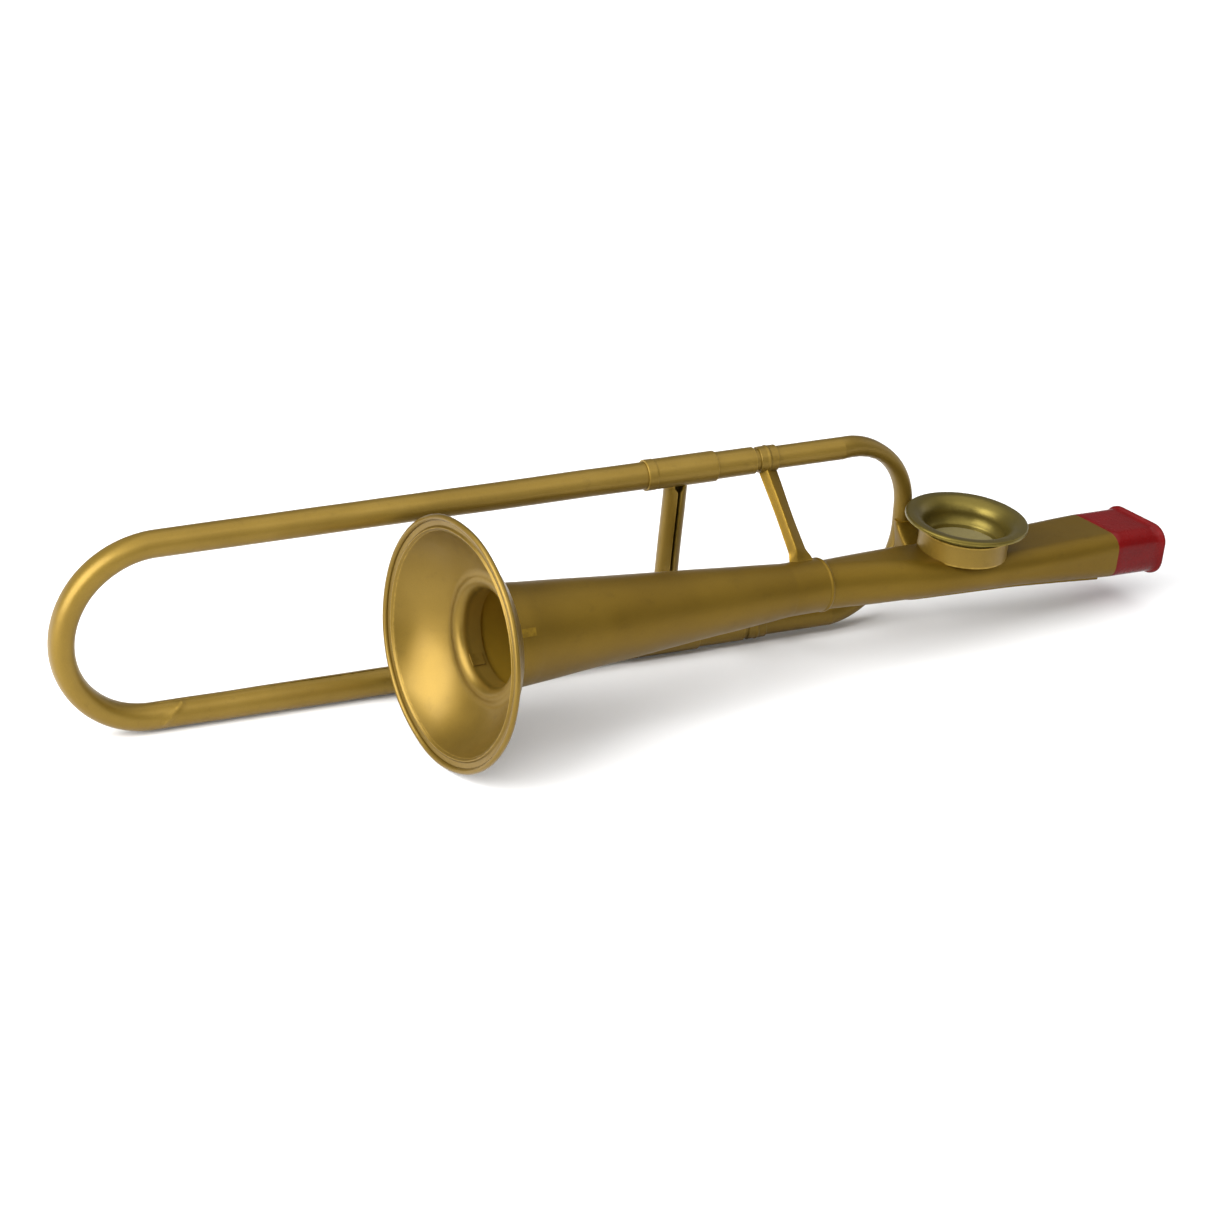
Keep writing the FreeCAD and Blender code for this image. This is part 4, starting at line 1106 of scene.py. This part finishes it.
def make_foot():
    """The soldered foot: a bracket that rises from the body and closes on the thin bow."""
    low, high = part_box("bow_saddle")
    bow_front = LOOP_Y + mm(BACK_CORNER) * math.sin(BACK_LEAN) - mm(BACK_RAD)
    middle_x = (low.x + high.x) / 2
    back = high.y + mm(0.2)
    loops = []
    for i in range(BRACKET_STEPS + 1):
        share = i / BRACKET_STEPS
        left = lerp(low.x - mm(0.1), middle_x - BRACKET_HALF, smooth(0.12, 0.55, share))
        right = lerp(high.x, middle_x + BRACKET_HALF, smooth(0.2, 0.8, share))
        front = lerp(low.y, bow_front, smooth(0.35, 1.0, share))
        loop = []
        for k in range(BRACKET_TURNS):
            angle = 2 * math.pi * k / BRACKET_TURNS
            x = lerp(left, right, 0.5 + 0.5 * squared(math.cos(angle), BRACKET_SQUARE))
            y = lerp(front, back, 0.5 + 0.5 * squared(math.sin(angle), BRACKET_SQUARE))
            loop.append(Vector((x, y, lerp(low.z, high.z, share))))
        loops.append(loop)
    form = bmesh.new()
    add_solid(form, loops)
    finish_mesh("bow_foot", form, "horn", ["bow_saddle"], SHADED_GOLD, BRACKET_WOBBLE)


# ---------------------------------------- build
make_legs()
make_front_bow()
make_back_bow()
make_ferrules()
make_collars()
make_slide_brace()
make_horn_braces()
make_bell()
make_cone()
make_kazoo()
make_seam()
make_mouthpiece()
make_cup()
make_cap()
make_membrane()
make_seat()
make_foot()


# ---------------------------------------- stage, light and camera
VIEW_AZIMUTH = math.radians(24.776)  # from the -Y side towards the -X side
VIEW_ELEVATION = math.radians(27.556)
VIEW_ROLL = math.radians(3.581)
VIEW_DISTANCE = mm(1547.7)
VIEW_LENS, SENSOR = 153.99, 36.0  # the camera's own millimetres
AIM = mm(-3.28, 35.6, 18.31)  # what the camera and the lights look at
FLOOR_HALF = 12.0  # metres
SKY_STRENGTH = 0.30


def make_floor():
    form = bmesh.new()
    bmesh.ops.create_grid(form, x_segments=1, y_segments=1, size=FLOOR_HALF)
    pale = Nodes("pale_floor")
    tone = pale.ramp(pale.noise(400, 2.0), ((0.3, 0.80), (0.7, 0.83)))
    pale.feed(pale.shader, {"Base Color": tone, "Roughness": 0.9, "Specular IOR Level": 0.1})
    floor = add_mesh("floor", form, pale.material)


def soft_light(name, azimuth, elevation, distance, size, power):
    """A square soft box that looks at the object: angles in degrees, distance and size in metres,
    power in watts. Azimuth 0 is the -Y side and 90 the +X side."""
    turn, rise = math.radians(azimuth), math.radians(elevation)
    level = math.cos(rise)
    offset = Vector((math.sin(turn) * level, -math.cos(turn) * level, math.sin(rise)))
    data = bpy.data.lights.new(name, "AREA")
    data.shape = "SQUARE"
    data.size = size
    data.energy = power
    lamp = add_object(name, data)
    lamp.location = AIM + offset * distance
    lamp.rotation_euler = (-offset).to_track_quat("-Z", "Y").to_euler()


def make_world():
    world = bpy.data.worlds.new("studio")
    bpy.context.scene.world = world
    world.use_nodes = True
    sky = world.node_tree.nodes["Background"]
    sky.inputs["Color"].default_value = (1.0, 1.0, 1.0, 1.0)
    sky.inputs["Strength"].default_value = SKY_STRENGTH


def make_camera():
    heading = Matrix.Rotation(-VIEW_AZIMUTH, 3, "Z")
    tilt = Matrix.Rotation(math.pi / 2 - VIEW_ELEVATION, 3, "X")
    turn = heading @ tilt @ Matrix.Rotation(VIEW_ROLL, 3, "Z")
    data = bpy.data.cameras.new("camera")
    data.sensor_width = SENSOR
    data.lens = VIEW_LENS
    camera = add_object("camera", data)
    back = turn @ Vector((0, 0, 1))
    camera.matrix_world = Matrix.Translation(AIM + back * VIEW_DISTANCE) @ turn.to_4x4()
    bpy.context.scene.camera = camera


make_floor()
make_world()
soft_light("left", -80, 28, 0.95, 0.9, 22)
soft_light("right", 95, 18, 1.7, 1.2, 4)
soft_light("front", 0, 36, 1.8, 1.8, 13)
soft_light("top", 0, 84, 1.7, 2.9, 41)
make_camera()
bpy.context.scene.view_settings.view_transform = "Standard"
